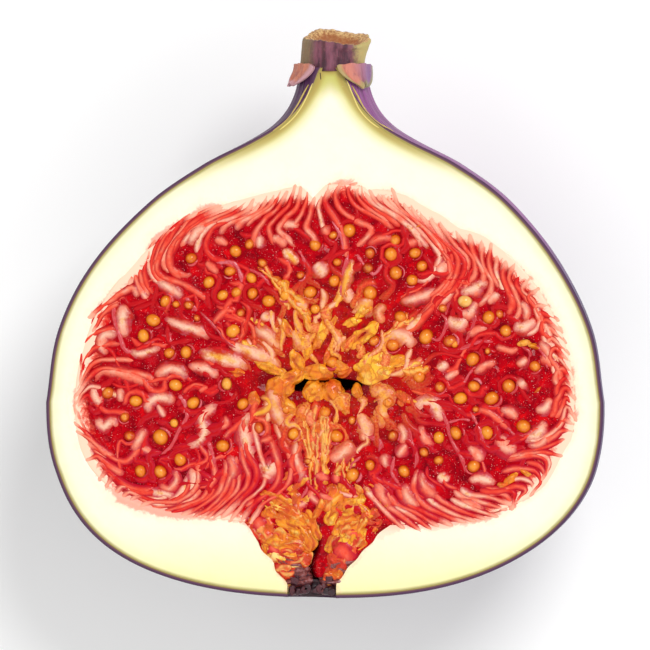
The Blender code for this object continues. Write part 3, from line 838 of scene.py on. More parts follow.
def membrane_finish():
    """Thin wet skins and threads, red to pale pink, that catch the light."""
    finish = Finish("membranes", Coat_Weight=0.5, Coat_Roughness=0.06, Specular_IOR_Level=0.3)
    tone, edge = finish.attributes("tone", "edge")
    grain = finish.noise(finish.place(), 0.3, 4.0)
    shade = finish.ramp(
        tone + (grain - 0.5) * 0.6, (0.0, (176, 8, 24)), (0.4, (204, 60, 66)),
        (0.75, (212, 116, 124)), (1.0, (226, 172, 180)),
    )
    shade = finish.mix(edge.between(0.3, 0.75) * 0.85, shade, CRIMSON)
    return finish.feed(Base_Color=shade, Roughness=0.12 + grain * 0.2, Normal=finish.bump(grain, 0.08, 0.7))


def scale_finish():
    """The dark scales of the eye, purple-brown with grey flecks."""
    finish = Finish("eye_scales", Coat_Weight=0.2, Coat_Roughness=0.2)
    [tone] = finish.attributes("tone")
    grain = finish.noise(finish.place(), 0.3, 4.0, 0.7)
    shade = finish.ramp(
        tone + (grain - 0.5) * 0.9, (0.0, (28, 4, 16)), (0.4, (72, 14, 28)), (0.7, (124, 44, 34)),
        (1.0, (176, 134, 140)),
    )
    return finish.feed(Base_Color=shade, Roughness=0.4 + grain * 0.3, Normal=finish.bump(grain, 0.1, 0.7))


def neck_line_finish():
    """The straw-coloured vessels of the neck, and a dark strand of painted shade for the slit at its top."""
    finish = Finish("neck_lines", Roughness=0.5, Specular_IOR_Level=0.3)
    [tone] = finish.attributes("tone")
    grain = finish.noise(finish.place(), 0.3, 4.0)
    shade = finish.ramp(
        tone + (grain - 0.5) * 0.12, (0.0, (58, 44, 28)), (0.12, (80, 62, 36)), (0.3, (196, 170, 92)),
        (0.9, (222, 202, 116)),
    )
    return finish.feed(Base_Color=shade, Normal=finish.bump(grain, 0.03, 0.5))


def stem_finish():
    """A ridged maroon stem, brown on the left, olive on the right and tan where it is torn."""
    finish = Finish("stem_bark", Subsurface_Weight=0.05)
    [torn] = finish.attributes("torn")
    place = finish.place()
    ridges = finish.noise(finish.stretched(place, 1.0, 0.3, 1.0), 0.8, 5.0, 0.65)
    grain = finish.noise(place, 0.3, 4.0, 0.65)
    x = place.part(0)
    furrow = (x + 0.1 + (grain - 0.5) * 0.4).between(0.35, 0.1) * (x + 0.1).between(-0.3, 0.0)
    side = x + (grain - 0.5) * 1.2
    inside = finish.mix(grain.between(0.35, 0.65), (150, 92, 44), (222, 182, 122))
    inside = finish.mix(torn.between(1.1, 1.9) * 0.8, inside, (150, 76, 30))
    shade = finish.over(
        (62, 24, 44),
        (ridges.between(0.35, 0.65), (124, 68, 86)),
        (furrow * 0.7, (38, 12, 20)),
        (side.between(-0.7, -1.9) * 0.85, (124, 108, 74)),
        (side.between(2.5, 3.5) * 0.85, (190, 172, 104)),
        (grain.between(0.6, 0.8) * 0.5, (186, 164, 136)),
        (torn.between(0.25, 0.75), inside),
    )
    bump = finish.bump(ridges * 0.7 + grain * 0.3, 0.15, 0.8)
    return finish.feed(Base_Color=shade, Roughness=0.5 + grain * 0.3, Normal=bump)


def bract_finish(name, heart, side, lip):
    """A basal bract: its heart colour, another towards one side, and another along its lip."""
    finish = Finish(name, Subsurface_Weight=0.08)
    across, edge = finish.attributes("across", "edge")
    place = finish.place()
    grain = finish.noise(place, 0.3, 4.0, 0.65)
    veins = finish.noise(finish.stretched(place, 1.0, 0.2, 1.0), 0.4, 3.0)
    shade = finish.over(
        heart,
        (across.between(0.1, 0.8), side),
        (veins.between(0.5, 0.7) * 0.4, (120, 60, 74)),
        (grain.between(0.6, 0.8) * 0.4, (206, 160, 140)),
        (edge.between(0.72, 0.96) * 0.7, lip),
    )
    bump = finish.bump(veins * 0.6 + grain * 0.4, 0.1, 0.7)
    return finish.feed(Base_Color=shade, Roughness=0.4 + grain * 0.3, Normal=bump)


# Skin and flesh

# How many points each ring of the skin has, and in millimetres how softly it levels out at the floor and how
# far it dips there
SKIN_COLUMNS = 200
REST_BLEND = 0.12
REST_DIP = 0.08


def half_ring(y, radius, floor, columns):
    """A ring round the fruit's axis, from the knife's plane round the back and up to the plane again.

    A ring levels out as it nears the floor, and the outer ones dip, so that the rest spot is flat."""
    rise = CUT_Z - axis_z(y)
    start = math.acos(min(rise / radius, 1.0))
    turn = np.linspace(start, 2 * math.pi - start, columns)
    z = axis_z(y) + radius * np.cos(turn)
    dip = REST_DIP * (z < 3) if floor == 0 else 0
    z = floor + np.logaddexp(0, (z - floor) / REST_BLEND) * REST_BLEND - dip
    x = axis_x(y) + radius * np.sin(turn)
    points = np.column_stack([x, np.full(columns, y), np.clip(z, floor, CUT_Z)])
    return tilted(points), turn


def skin_ribs(turn, along):
    """How far the skin's faint ribs stand out, round one ring of it."""
    wave = 0.05 * np.sin(turn * 23 + 2 * np.sin(along * 0.1))
    return wave + 0.07 * lumps([(around, along * 0.06, 0.0) for around in turn * 5], 1.0)


def make_skin(finish):
    """The skin: the outer face from the eye to the neck, back along the inner one, closed at the cut."""
    heap = Heap()
    for layer, inset in enumerate((0.0, SKIN)):
        y, radius = skin_profile(inset)
        along = run_along(np.column_stack([y, radius]))
        rows = range(len(y)) if layer == 0 else range(len(y) - 1, -1, -1)
        for row in rows:
            points, turn = half_ring(y[row], radius[row], SKIN * layer, SKIN_COLUMNS)
            if layer == 0:
                out = points - (axis_x(y[row]), y[row], axis_z(y[row]))
                out = out / np.maximum(np.linalg.norm(out, axis=1), 0.5)[:, None]
                fade = smooth((turn - turn[0]) / 0.12) * smooth((turn[-1] - turn) / 0.12)
                fade = fade * smooth(along[row] / 6) * smooth((points[:, 2] - 0.2) / 1.5)
                points = points + out * (skin_ribs(turn, along[row]) * fade)[:, None]
            heap.add(points, turn=turn, along=along[row], inward=layer)
    rows = heap.count // SKIN_COLUMNS
    faces = grid_faces(rows + 1, SKIN_COLUMNS, False)
    heap.faces = [[corner % heap.count for corner in face] for face in faces]
    for column in (0, SKIN_COLUMNS - 1):
        for row in range(rows // 2 - 1):
            rings = (row, row + 1, rows - 2 - row, rows - 1 - row)
            heap.faces.append([ring * SKIN_COLUMNS + column for ring in rings])
    skin = heap.piece("fig_skin", finish, "skin", "skin")
    choose_only(skin)
    bpy.ops.object.shade_smooth_by_angle(angle=math.radians(50))
    return skin


def passage_cutter():
    """The space of the passage, as a solid to cut the flesh with."""
    around, rows, over = 72, 40, 1.0
    turn = np.linspace(0, 2 * math.pi, around, endpoint=False)
    rings = []
    for y in np.linspace(EYE_Y - over, PASSAGE_MOUTH_Y + 1.5 * over, rows):
        radius = passage_wall(turn, y)
        x = axis_x(y) + radius * np.sin(turn)
        rings.append(np.column_stack([x, np.full(around, y), axis_z(y) + radius * np.cos(turn)]))
    mesh = bpy.data.meshes.new("passage_space")
    mesh.from_pydata((np.vstack(rings) * MM).tolist(), [], capped_faces(rows, around))
    made = bpy.data.objects.new("passage_space", mesh)
    bpy.context.scene.collection.objects.link(made)
    face_outwards(made)
    return made


def cut_away(made, cutter):
    """Takes the cutter's space out of the object, and removes the cutter."""
    modifier = made.modifiers.new("passage", "BOOLEAN")
    modifier.operation = "DIFFERENCE"
    modifier.solver = "MANIFOLD"
    modifier.object = cutter
    choose_only(made)
    bpy.ops.object.modifier_apply(modifier=modifier.name)
    bpy.data.objects.remove(cutter)


def nearest_distance(points, line):
    """How far each point is from the nearest place of a line, on the cut face."""
    tree = kdtree.KDTree(len(line))
    for i, (x, y) in enumerate(line):
        tree.insert((x, y, 0), i)
    tree.balance()
    return np.array([tree.find((x, y, 0))[2] for x, y in points[:, :2]])


def make_flesh(finish):
    """The flesh as one body: the bowl that holds the pulp, its broad cut rim, and its back to the skin."""
    turn = even_turns(720)
    edge = reach(turn, CUT_Z, flesh_radius)
    wall = flesh_edge(turn)
    loops = []
    for height in np.linspace(3.2, CUT_Z - 1.2, 10):
        loops.append(loop_at(turn, reach(turn, height, pulp_radius), height))
    for share in 0.5 - 0.5 * np.cos(np.linspace(0, math.pi, 48)):
        loop = loop_at(turn, wall + (edge - wall) * share, CUT_Z)
        gap = (edge - wall) * np.minimum(share, 1 - share)
        loop[:, 2] += 0.02 * lumps(loop, 1.8) * smooth(gap) - 0.2 * smooth(1 - (edge - wall) * share / 0.8)
        loops.append(loop)
    for share in np.linspace(0, 1, 30)[1:]:
        height = FLESH_FLOOR + (CUT_Z - FLESH_FLOOR) * (1 - math.sin(share * math.pi / 2))
        clear = 0.5 * smooth((CUT_Z - height) / 1.5) * np.exp(-((turn / 0.7) ** 2))
        loops.append(loop_at(turn, reach(turn, height, flesh_radius) - clear, height))
    heap = Heap()
    heap.add(tilted(np.vstack(loops)), capped_faces(len(loops), len(turn)))
    flesh = heap.piece("fig_flesh", finish, "flesh", "flesh")
    cut_away(flesh, passage_cutter())
    points = places_of(flesh.data)
    outline = tilted(loop_at(turn, edge, 0.0))[:, :2]
    passage = []
    for y in np.linspace(EYE_Y, PASSAGE_MOUTH_Y, 40):
        passage += [(axis_x(y) + side * passage_radius(y), y) for side in (-1, 1)]
    direction, distance = direction_of(points)
    to_pulp = np.minimum(distance - pulp_edge(direction), nearest_distance(points, passage))
    keep(flesh.data, "to_skin", nearest_distance(points, outline))
    keep(flesh.data, "to_pulp", to_pulp)
    choose_only(flesh)
    bpy.ops.object.shade_smooth_by_angle(angle=math.radians(40))
    return flesh


# The pulp

# What stands for the distance to the pulp's edge where the gel is nowhere near the flesh
FAR_INSIDE = 9.0


def gel_pits(places):
    """How far the gel's surface lies under the cut at each place."""
    return 0.27 + 0.16 * lumps(places, 1.3) + 0.06 * lumps(places, 0.45, 2.0)


def make_gel(finish):
    """The gel that fills the pulp's space: a pitted surface under the cut, with the hollow in its middle.

    depth is how far each point lies under the cut, and shore how far it is from the pulp's ragged edge."""
    turn = np.linspace(-math.pi, math.pi, 400, endpoint=False)
    middle = np.array(HOLLOW_CENTRE)
    heap = Heap()
    for share in np.linspace(0, 1, 8):
        narrow = (0.3 + 0.25 * share, 0.12 + 0.5 * share)
        ring = middle + (pulp_place(1.0, turn) - middle) * narrow
        depth = np.full(len(turn), 0.75 + 3.0 * (1 - share) ** 0.6)
        heap.add(np.column_stack([ring, CUT_Z - depth]), depth=depth, shore=FAR_INSIDE)
    for inward in np.linspace(1, -0.01, 98):
        ring = pulp_place(inward, turn)
        ring = middle + (ring - middle) * (1 - np.array([0.45, 0.38]) * smooth((inward - 0.7) / 0.3))
        mouth = smooth((PASSAGE_MOUTH_RADIUS + 0.3 - np.abs(ring[:, 0] - axis_x(ring[:, 1]))) / 0.8)
        mouth = mouth * (ring[:, 1] < PULP_CENTRE_Y - 5)
        direction, distance = direction_of(ring)
        shore = pulp_edge(direction) - distance
        rise = (1 - smooth(0.2 + shore / 1.2)) * (1 - mouth)
        pits = gel_pits(np.column_stack([ring, np.zeros(len(turn))]))
        pits = np.clip(pits * (1 - rise) + 0.45 * smooth((inward - 0.85) / 0.15), 0.06, 2.0)
        pits = pits + 0.3 * (inward < -0.005) * (1 - mouth)
        heap.add(np.column_stack([ring, CUT_Z - pits]), depth=pits, shore=shore + FAR_INSIDE * mouth)
    for height in np.linspace(CUT_Z - 1.6, 3.2, 10):
        ring = loop_at(turn, reach(turn, height, pulp_radius) - 0.12, height)
        heap.add(tilted(ring), depth=1.6, shore=0.0)
    heap.faces = capped_faces(heap.count // len(turn), len(turn))
    return heap.piece("pulp_gel", finish, "pulp", "pulp")


def strand(heap, path, half_width, crest, drop, tone, pointed=(0.3, 0.3), columns=9, root=0.0):
    """A floret that lies along a path in the cut face: gently domed, with its sides sunk into the gel.

    half_width, tone and crest, the height of its back, are numbers or arrays along the path. drop is how far
    its sides lie below its back, and pointed is how long each end is drawn out, as a share of the path. root
    is how much each place takes the flesh's colour."""
    count = len(path)
    t = np.linspace(0, 1, count)
    taper = np.minimum(np.clip(t / pointed[0], 0, 1), np.clip((1 - t) / pointed[1], 0, 1))
    taper = np.sqrt(1 - (1 - taper) ** 2) * 0.97 + 0.03
    along = np.gradient(path, axis=0)
    along /= np.maximum(np.linalg.norm(along, axis=1), 1e-6)[:, None]
    side = np.column_stack([along[:, 1], -along[:, 0]])
    wide = np.broadcast_to(half_width, (count,)) * taper
    high = np.broadcast_to(crest, (count,)) - 0.3 * (1 - taper)
    across = -np.cos(np.linspace(0, math.pi, columns))
    x = path[:, None, 0] + side[:, None, 0] * wide[:, None] * across
    y = path[:, None, 1] + side[:, None, 1] * wide[:, None] * across
    z = high[:, None] - drop * np.abs(across) ** 2.4
    edge = np.maximum(np.abs(across)[None, :], 1 - taper[:, None])
    heap.add(
        np.stack([x, y, z], -1), capped_faces(count, columns),
        edge=edge.ravel(), across=np.tile(across, count), along=np.repeat(run_along(path), columns),
        tone=np.repeat(np.broadcast_to(tone, (count,)), columns),
        root=np.repeat(np.broadcast_to(root, (count,)), columns),
    )


def rooted(path, over):
    """The path drawn out at its start, straight on, so that it starts on the flesh."""
    out = path[0] - path[2]
    return np.vstack([path[0] + out / np.linalg.norm(out) * over, path])


def rim_paths(draw):
    """Every fine floret's path: the guides, and others in step between each guide and the next."""
    paths = []
    stations = 30
    for first, second in zip(RIM_GUIDES, RIM_GUIDES[1:] + [None]):
        if first is None:
            continue
        here = smooth_path(from_photo(first), stations)
        paths.append(here)
        if second is None:
            continue
        there = smooth_path(from_photo(second), stations)
        gap = np.linalg.norm(there - here, axis=1)[: stations // 2].mean()
        between = max(int(round(gap / RIM_SPACING)) - 1, 0)
        for k in range(between):
            share = (k + 1 + draw.uniform(-0.15, 0.15)) / (between + 1)
            path = here * (1 - share) + there * share
            paths.append(path[: draw.randint(int(stations * 0.6), stations)])
    return paths


def make_rim_florets(finish, draw):
    """Fine florets that run in, side by side, from the flesh all round the pulp."""
    heap = Heap()
    for i, path in enumerate(rim_paths(draw)):
        path = smooth_path(path, max(len(path), 12))
        path = smooth_path(rooted(path, draw.uniform(0.4, 1.3)), 30)
        wiggle = path_lumps(path, 1.1, i * 3.7)
        path = pushed(path, wiggle, 0.09)
        t = np.linspace(0, 1, len(path))
        swell = 0.62 + 0.6 * t**1.2 + 0.2 * path_lumps(path, 1.6, i)
        wide = draw.uniform(0.5, 0.7) * swell
        crest = CUT_Z + 0.03 - 0.09 * t - draw.uniform(0, 0.1) + 0.04 * wiggle
        tone = draw.choice((0.12, 0.2, 0.26, 0.34, 0.46)) + 0.28 * t + 0.12 * wiggle
        root = smooth(1 - t / 0.34)
        strand(heap, path, wide, crest, 0.5, tone, (draw.uniform(0.06, 0.18), 0.2), root=root)
    return heap.piece("rim_florets", finish, "pulp")


# Stout pale florets: tone, half width in pixels, and the path
BODIES = [
    (0.7, 7, [(122, 302), (121, 320), (124, 339)]),
    (0.66, 5.5, [(118, 332), (103, 335), (100, 347), (108, 353)]),
    (0.64, 5.5, [(152, 279), (168, 288), (184, 298)]),
    (0.68, 5.5, [(162, 317), (180, 325), (200, 331), (210, 339)]),
    (0.66, 4.5, [(126, 351), (141, 354), (161, 347)]),
    (0.56, 5.5, [(90, 383), (102, 371), (121, 373), (140, 380), (154, 388)]),
    (0.64, 5.5, [(152, 377), (166, 369), (180, 371), (186, 381)]),
    (0.66, 5, [(186, 365), (205, 368), (219, 377)]), (0.7, 6, [(253, 327), (268, 336), (281, 351)]),
    (0.76, 4.5, [(260, 313), (270, 320)]), (0.78, 6, [(225, 343), (244, 349), (264, 357), (281, 369)]),
    (0.8, 6.5, [(196, 351), (214, 356), (234, 361), (249, 369)]), (0.52, 3.5, [(204, 261), (218, 274)]),
    (0.56, 4, [(213, 236), (228, 245)]), (0.66, 5.5, [(207, 224), (195, 232), (187, 246)]),
    (0.64, 4.5, [(259, 233), (259, 249)]), (0.6, 5, [(270, 235), (287, 244)]),
    (0.62, 5, [(280, 223), (300, 225)]), (0.74, 7, [(314, 262), (326, 276)]),
    (0.86, 4.5, [(282, 249), (290, 256), (298, 264)]), (0.82, 6.5, [(290, 331), (300, 339), (311, 350)]),
    (0.76, 4.5, [(295, 300), (306, 310)]), (0.66, 6.5, [(436, 278), (442, 268), (451, 261)]),
    (0.64, 5.5, [(399, 303), (418, 298), (440, 289)]), (0.68, 6.5, [(459, 296), (474, 289), (489, 280)]),
    (0.64, 5.5, [(488, 304), (500, 291)]), (0.7, 6.5, [(512, 324), (525, 327), (536, 318)]),
    (0.7, 6.5, [(446, 318), (458, 324), (470, 318)]),
    (0.76, 6.5, [(384, 337), (398, 335), (409, 341), (409, 350)]),
    (0.74, 4, [(402, 337), (415, 322), (427, 312)]), (0.72, 6, [(344, 286), (352, 303)]),
    (0.88, 4, [(342, 299), (347, 276), (353, 258)]), (0.86, 6.5, [(355, 313), (364, 306), (373, 299)]),
    (0.68, 5.5, [(437, 370), (449, 362)]), (0.64, 4, [(444, 379), (460, 371)]),
    (0.56, 4, [(466, 336), (478, 330), (492, 330)]), (0.56, 4, [(472, 373), (484, 366), (497, 361)]),
    (0.54, 5.5, [(540, 355), (549, 360), (557, 368)]), (0.6, 4.5, [(517, 366), (529, 358)]),
    (0.62, 6.5, [(518, 387), (526, 381)]), (0.68, 5, [(91, 386), (94, 398), (101, 405)]),
    (0.6, 4.5, [(119, 387), (120, 403)]), (0.68, 5.5, [(143, 414), (151, 401), (162, 398), (176, 401)]),
    (0.66, 2.5, [(156, 403), (164, 418)]), (0.68, 6, [(93, 417), (102, 428), (111, 422), (115, 430)]),
    (0.6, 5.5, [(131, 453), (139, 439), (145, 427)]), (0.58, 4, [(139, 447), (151, 452)]),
    (0.7, 5, [(181, 447), (195, 444), (204, 433), (201, 419), (209, 409), (221, 401)]),
    (0.72, 4, [(147, 490), (160, 493), (174, 495)]), (0.7, 6, [(191, 466), (193, 482), (186, 497)]),
    (0.56, 4, [(156, 483), (168, 489), (176, 478), (170, 468)]),
    (0.5, 5, [(227, 454), (232, 469), (228, 484)]),
    (0.72, 7, [(255, 411), (246, 419), (245, 436), (250, 455), (257, 470)]),
    (0.72, 7.5, [(259, 461), (268, 470), (277, 460)]), (0.7, 5.5, [(268, 470), (266, 480)]),
    (0.74, 6, [(270, 386), (275, 408), (284, 430)]),
    (0.62, 4.5, [(301, 430), (296, 448), (297, 461), (302, 475), (298, 486)]),
    (0.74, 6.5, [(415, 413), (421, 403), (432, 402), (438, 414), (438, 424)]),
    (0.84, 7, [(371, 396), (379, 391), (386, 400), (383, 416), (382, 430)]),
    (0.74, 6, [(358, 412), (365, 427), (369, 443)]), (0.66, 7.5, [(499, 433), (506, 446), (519, 449)]),
    (0.7, 7, [(524, 437), (538, 434), (547, 420)]),
    (0.44, 3.5, [(470, 409), (487, 411), (502, 422), (515, 434)]),
    (0.72, 4.5, [(468, 480), (482, 478), (497, 483)]), (0.58, 5.5, [(383, 452), (387, 469)]),
    (0.6, 4.5, [(408, 443), (397, 457)]), (0.66, 7, [(329, 462), (344, 452), (351, 440)]),
    (0.84, 5.5, [(338, 393), (345, 412)]), (0.82, 5.5, [(437, 474), (449, 481)]),
    (0.4, 8, [(333, 546), (344, 552), (349, 563)]), (0.44, 6, [(256, 517), (262, 531)]),
    (0.38, 5.5, [(268, 545), (278, 554)]), (0.42, 4.5, [(348, 531), (359, 535)]),
    (0.66, 5, [(553, 398), (546, 408), (535, 411)]), (0.62, 4.5, [(500, 408), (512, 412), (519, 420)]),
    (0.6, 4.5, [(549, 432), (541, 444), (527, 446)]), (0.64, 5, [(468, 446), (476, 452), (484, 462)]),
    (0.58, 4.5, [(538, 340), (546, 348), (551, 360)]), (0.64, 5, [(478, 300), (470, 312), (458, 312)]),
    (0.6, 4.5, [(519, 300), (527, 310), (526, 322)]), (0.56, 4.5, [(420, 424), (424, 438), (434, 447)]),
    (0.62, 4.5, [(398, 423), (404, 434), (401, 445)]), (0.58, 5.5, [(377, 479), (382, 496), (391, 507)]),
    (0.6, 5.5, [(403, 482), (408, 497), (421, 508)]), (0.52, 5, [(421, 470), (425, 486), (440, 499)]),
    (0.56, 4.5, [(457, 499), (472, 504), (486, 511)]), (0.4, 4, [(366, 246), (380, 238), (398, 240)]),
    (0.5, 4.5, [(322, 226), (330, 236)]), (0.48, 4, [(404, 246), (418, 240)]),
]


# How much wider than its pale heart a stout floret is: a share, and pixels for its red flank
BODY_SPREAD = 1.75
BODY_FLANK = 1.4


def make_bodies(finish, draw):
    """The stout florets: broad strands, each along its own path."""
    heap = Heap()
    for i, (tone, half_width, pixels) in enumerate(BODIES):
        path = smooth_path(from_photo(pixels), 22)
        path = path + 0.05 * np.array([[draw.uniform(-1, 1), draw.uniform(-1, 1)]])
        bumps = path_lumps(path, 0.8, i * 2.3)
        wide = (BODY_SPREAD * half_width + BODY_FLANK) / PIXELS_PER_MM * (1 + 0.3 * bumps)
        crest = CUT_Z - draw.uniform(0.0, 0.08) + 0.05 * bumps
        strand(heap, pushed(path, bumps, 0.1), wide, crest, 0.42, tone, (0.5, 0.5), columns=11)
    return heap.piece("stout_florets", finish, "pulp")


# How many slender florets there are, and the golden ones' middle as a pixel and their reach in millimetres
INNER_FLORETS = 240
GOLDEN_MIDDLE = (335, 368)
GOLDEN_REACH = 8.6


def seed_places():
    """Each seed's place and radius in millimetres, and its tone."""
    places = from_photo([seed[:2] for seed in SEEDS])
    return [(place, radius / PIXELS_PER_MM, tone) for place, (_, _, radius, tone) in zip(places, SEEDS)]


def round_seeds(path, seeds):
    """The path pushed aside where it would run through a seed."""
    for (x, y), radius, _ in seeds:
        away = path - [x, y]
        distance = np.maximum(np.linalg.norm(away, axis=1), 0.05)
        push = np.maximum(radius + 0.28 - distance, 0)
        path = path + away / distance[:, None] * push[:, None]
    return path


def make_inner_florets(finish, draw):
    """Slender florets that run in from the flesh between the seeds and bend round them."""
    heap = Heap()
    seeds = seed_places()
    middle = from_photo([GOLDEN_MIDDLE])[0]
    for i in range(INNER_FLORETS):
        turn, depth = draw.uniform(-math.pi, math.pi), draw.uniform(0.06, 0.8)
        step, sway, phase = draw.uniform(0.03, 0.06), draw.uniform(0.02, 0.09), draw.uniform(0, 6.3)
        steps = np.arange(draw.randint(4, 7))
        path = pulp_place(np.minimum(depth + step * steps, 0.97), turn + sway * np.sin(phase + steps * 1.1))
        path = round_seeds(smooth_path(path, 18), seeds)
        bumps = path_lumps(path, 0.7, i * 2.9)
        path = pushed(path, bumps, 0.1)
        golden = np.linalg.norm(path[9] - middle) < GOLDEN_REACH * draw.uniform(0.5, 1.1)
        tone = draw.uniform(0.62, 0.98) if golden else draw.choice((-0.05, 0.0, 0.05, 0.1, 0.2, 0.36))
        wide = draw.uniform(0.32, 0.6) * (1 + 0.4 * bumps)
        crest = CUT_Z - draw.uniform(0.03, 0.18) + 0.05 * bumps
        strand(heap, path, wide, crest, 0.45, tone, (0.25, 0.3), 7)
    return heap.piece("inner_florets", finish, "pulp")


# How many smaller florets there are, and how many places are tried for each
FILL_FLORETS = 150
FILL_TRIES = 30


def make_fill_florets(finish, draw):
    """Smaller pale florets in the gaps that the seeds and the stout florets leave."""
    taken = [(*place, radius + 0.45) for place, radius, _ in seed_places()]
    for _, half_width, pixels in BODIES:
        taken += [(x, y, half_width / PIXELS_PER_MM + 0.55) for x, y in smooth_path(from_photo(pixels), 8)]
    for guide in RIM_GUIDES:
        if guide:
            taken += [(x, y, 0.75) for x, y in smooth_path(from_photo(guide), 10)]
    taken = np.array(taken)
    heap = Heap()
    placed = 0
    for i in range(FILL_FLORETS * FILL_TRIES):
        turn, depth = draw.uniform(-math.pi, math.pi), draw.uniform(0.08, 0.86)
        step, sway, phase = draw.uniform(0.02, 0.045), draw.uniform(0.02, 0.12), draw.uniform(0, 6.3)
        steps = np.arange(4)
        path = pulp_place(depth + step * steps, turn + sway * np.sin(phase + steps * 1.2))
        near = np.hypot(path[:, :1] - taken[:, 0], path[:, 1:] - taken[:, 1]) < taken[:, 2]
        if near.any() or placed == FILL_FLORETS:
            continue
        placed += 1
        path = smooth_path(path, 16)
        bumps = path_lumps(path, 0.8, i * 2.3)
        wide = draw.uniform(0.5, 0.9) * (1 + 0.35 * bumps)
        crest = CUT_Z - draw.uniform(0.0, 0.1) + 0.05 * bumps
        strand(heap, path, wide, crest, 0.45, draw.uniform(0.34, 0.64), (0.45, 0.45))
        taken = np.vstack([taken, np.column_stack([path[::4], np.full(4, 0.6)])])
    return heap.piece("fill_florets", finish, "pulp")


# Seeds: the pixel at each one's middle, its radius in pixels, and its tone
SEEDS = [
    (164, 301, 6.5, 0.6), (190, 258, 6.2, 0.4), (208, 282, 6.6, 0.6), (229, 271, 6.2, 0.6),
    (235, 251, 6.6, 0.6), (249, 244, 5.6, 0.45), (262, 263, 5.2, 0.35), (251, 278, 6.2, 0.65),
    (222, 295, 6.4, 0.7), (236, 292, 6.2, 0.55), (252, 293, 6.2, 0.6), (268, 301, 7, 0.65),
    (285, 295, 5.8, 0.75), (315, 245, 6.6, 0.55), (240, 313, 5, 0.25), (188, 305, 5.6, 0.25),
    (152, 320, 8, 0.65), (142, 336, 7.2, 0.7), (232, 331, 8, 0.7), (168, 353, 6, 0.45),
    (185, 352, 6.8, 0.65), (174, 385, 7.6, 0.7), (226, 384, 6.6, 0.9), (106, 393, 6.6, 0.45),
    (134, 401, 7.2, 0.65), (310, 292, 7.2, 0.55), (315, 309, 5.2, 0.75), (349, 230, 7.2, 0.6),
    (333, 235, 4.8, 0.5), (395, 240, 6.4, 0.5), (391, 254, 7.4, 0.6), (415, 253, 6.4, 0.55),
    (396, 273, 7.2, 0.6), (422, 266, 5.8, 0.5), (412, 280, 6.2, 0.6), (370, 253, 5.6, 0.3),
    (368, 268, 6, 0.15), (370, 293, 7.8, 0.6), (334, 281, 6.4, 0.6), (401, 317, 6.8, 0.6),
    (393, 345, 7.2, 0.5), (426, 337, 8.4, 0.65), (443, 308, 4.8, 0.45), (465, 301, 7.8, 0.95),
    (489, 317, 7.2, 0.6), (500, 314, 4.6, 0.4), (506, 331, 6.4, 0.55), (450, 341, 7.2, 0.35),
    (473, 359, 7.6, 0.5), (488, 351, 3.6, 0.4), (535, 366, 6.4, 0.5), (419, 376, 7.2, 0.6),
    (440, 387, 6, 0.35), (474, 386, 6.6, 0.55), (509, 386, 7.2, 0.45), (332, 362, 6.2, 0.6),
    (492, 398, 8, 0.6), (461, 398, 7.2, 0.7), (374, 341, 5.4, 0.5), (192, 403, 7, 0.65),
    (242, 404, 6.6, 0.65), (173, 423, 4.6, 0.85), (159, 437, 8.4, 0.65), (222, 446, 7.2, 0.65),
    (179, 460, 7.2, 0.65), (139, 471, 6.6, 0.6), (159, 472, 7.2, 0.6), (128, 436, 6.2, 0.25),
    (123, 417, 5.6, 0.35), (258, 428, 6.4, 0.35), (293, 434, 6.6, 0.7), (308, 461, 4.8, 0.2),
    (325, 412, 6.2, 0.6), (286, 409, 5, 0.6), (336, 436, 7.2, 0.65), (352, 475, 7.4, 0.65),
    (404, 471, 6.8, 0.6), (370, 465, 6, 0.55), (439, 460, 5.4, 0.45), (424, 452, 5.2, 0.4),
    (474, 466, 7, 0.55), (439, 437, 6.4, 0.65), (456, 433, 7.2, 0.6), (487, 432, 7.8, 0.6),
    (524, 426, 7.8, 0.6), (393, 436, 6.2, 0.15), (337, 262, 4.6, 0.5), (279, 283, 4.4, 0.5),
    (376, 340, 4.6, 0.4), (300, 275, 4.6, 0.3), (476, 409, 3.6, 0.35), (455, 344, 4, 0.6),
    (196, 318, 3.8, 0.3), (175, 304, 4, 0.55), (352, 420, 4.6, 0.5),
]


def make_seeds(finish, draw):
    """Round seeds in the gel: one ball is modelled, and each seed is a copy, stretched and turned."""
    ball, faces = round_model(bpy.ops.mesh.primitive_uv_sphere_add, segments=14, ring_count=10)
    ball *= (1 + 0.05 * ball[:, :1] ** 3)
    heap = Heap()
    for (x, y), size, tone in seed_places():
        turn = draw.uniform(0, 2 * math.pi)
        stretch = np.array([1.04, draw.uniform(0.84, 1.0), 0.92]) * size
        points = ball * stretch * (1 + 0.07 * lumps(ball + [x, y, 0], 1.2))[:, None]
        centre = (x, y, CUT_Z - size * 0.7 + draw.uniform(-0.06, 0.06))
        points = turned(points, turn) + centre
        # up is the height on the seed, from which its finish paints a highlight on top and shade low down.
        heap.add(points, faces, tone=tone + draw.uniform(-0.06, 0.06), up=(ball[:, 2] + 1) / 2)
    return heap.piece("seeds", finish, "pulp")


def make_seed_coats(finish, draw):
    """Thin pale coats that hug part of a seed."""
    heap = Heap()
    for (x, y), size, _ in seed_places():
        if draw.random() < 0.3:
            continue
        middle = draw.gauss(-0.5, 0.9)
        spread = draw.uniform(0.6, 1.3)
        turn = np.linspace(middle - spread, middle + spread, 14)
        distance = size * (1.12 + 0.08 * np.sin(turn * 2 + size * PIXELS_PER_MM))
        path = np.column_stack([x + distance * np.cos(turn), y + distance * np.sin(turn)])
        crest = CUT_Z - draw.uniform(0.02, 0.14)
        wide = size * draw.uniform(0.2, 0.42)
        strand(heap, path, wide, crest, 0.4, draw.uniform(0.0, 0.65), (0.4, 0.5), 7)
    return heap.piece("seed_coats", finish, "pulp")


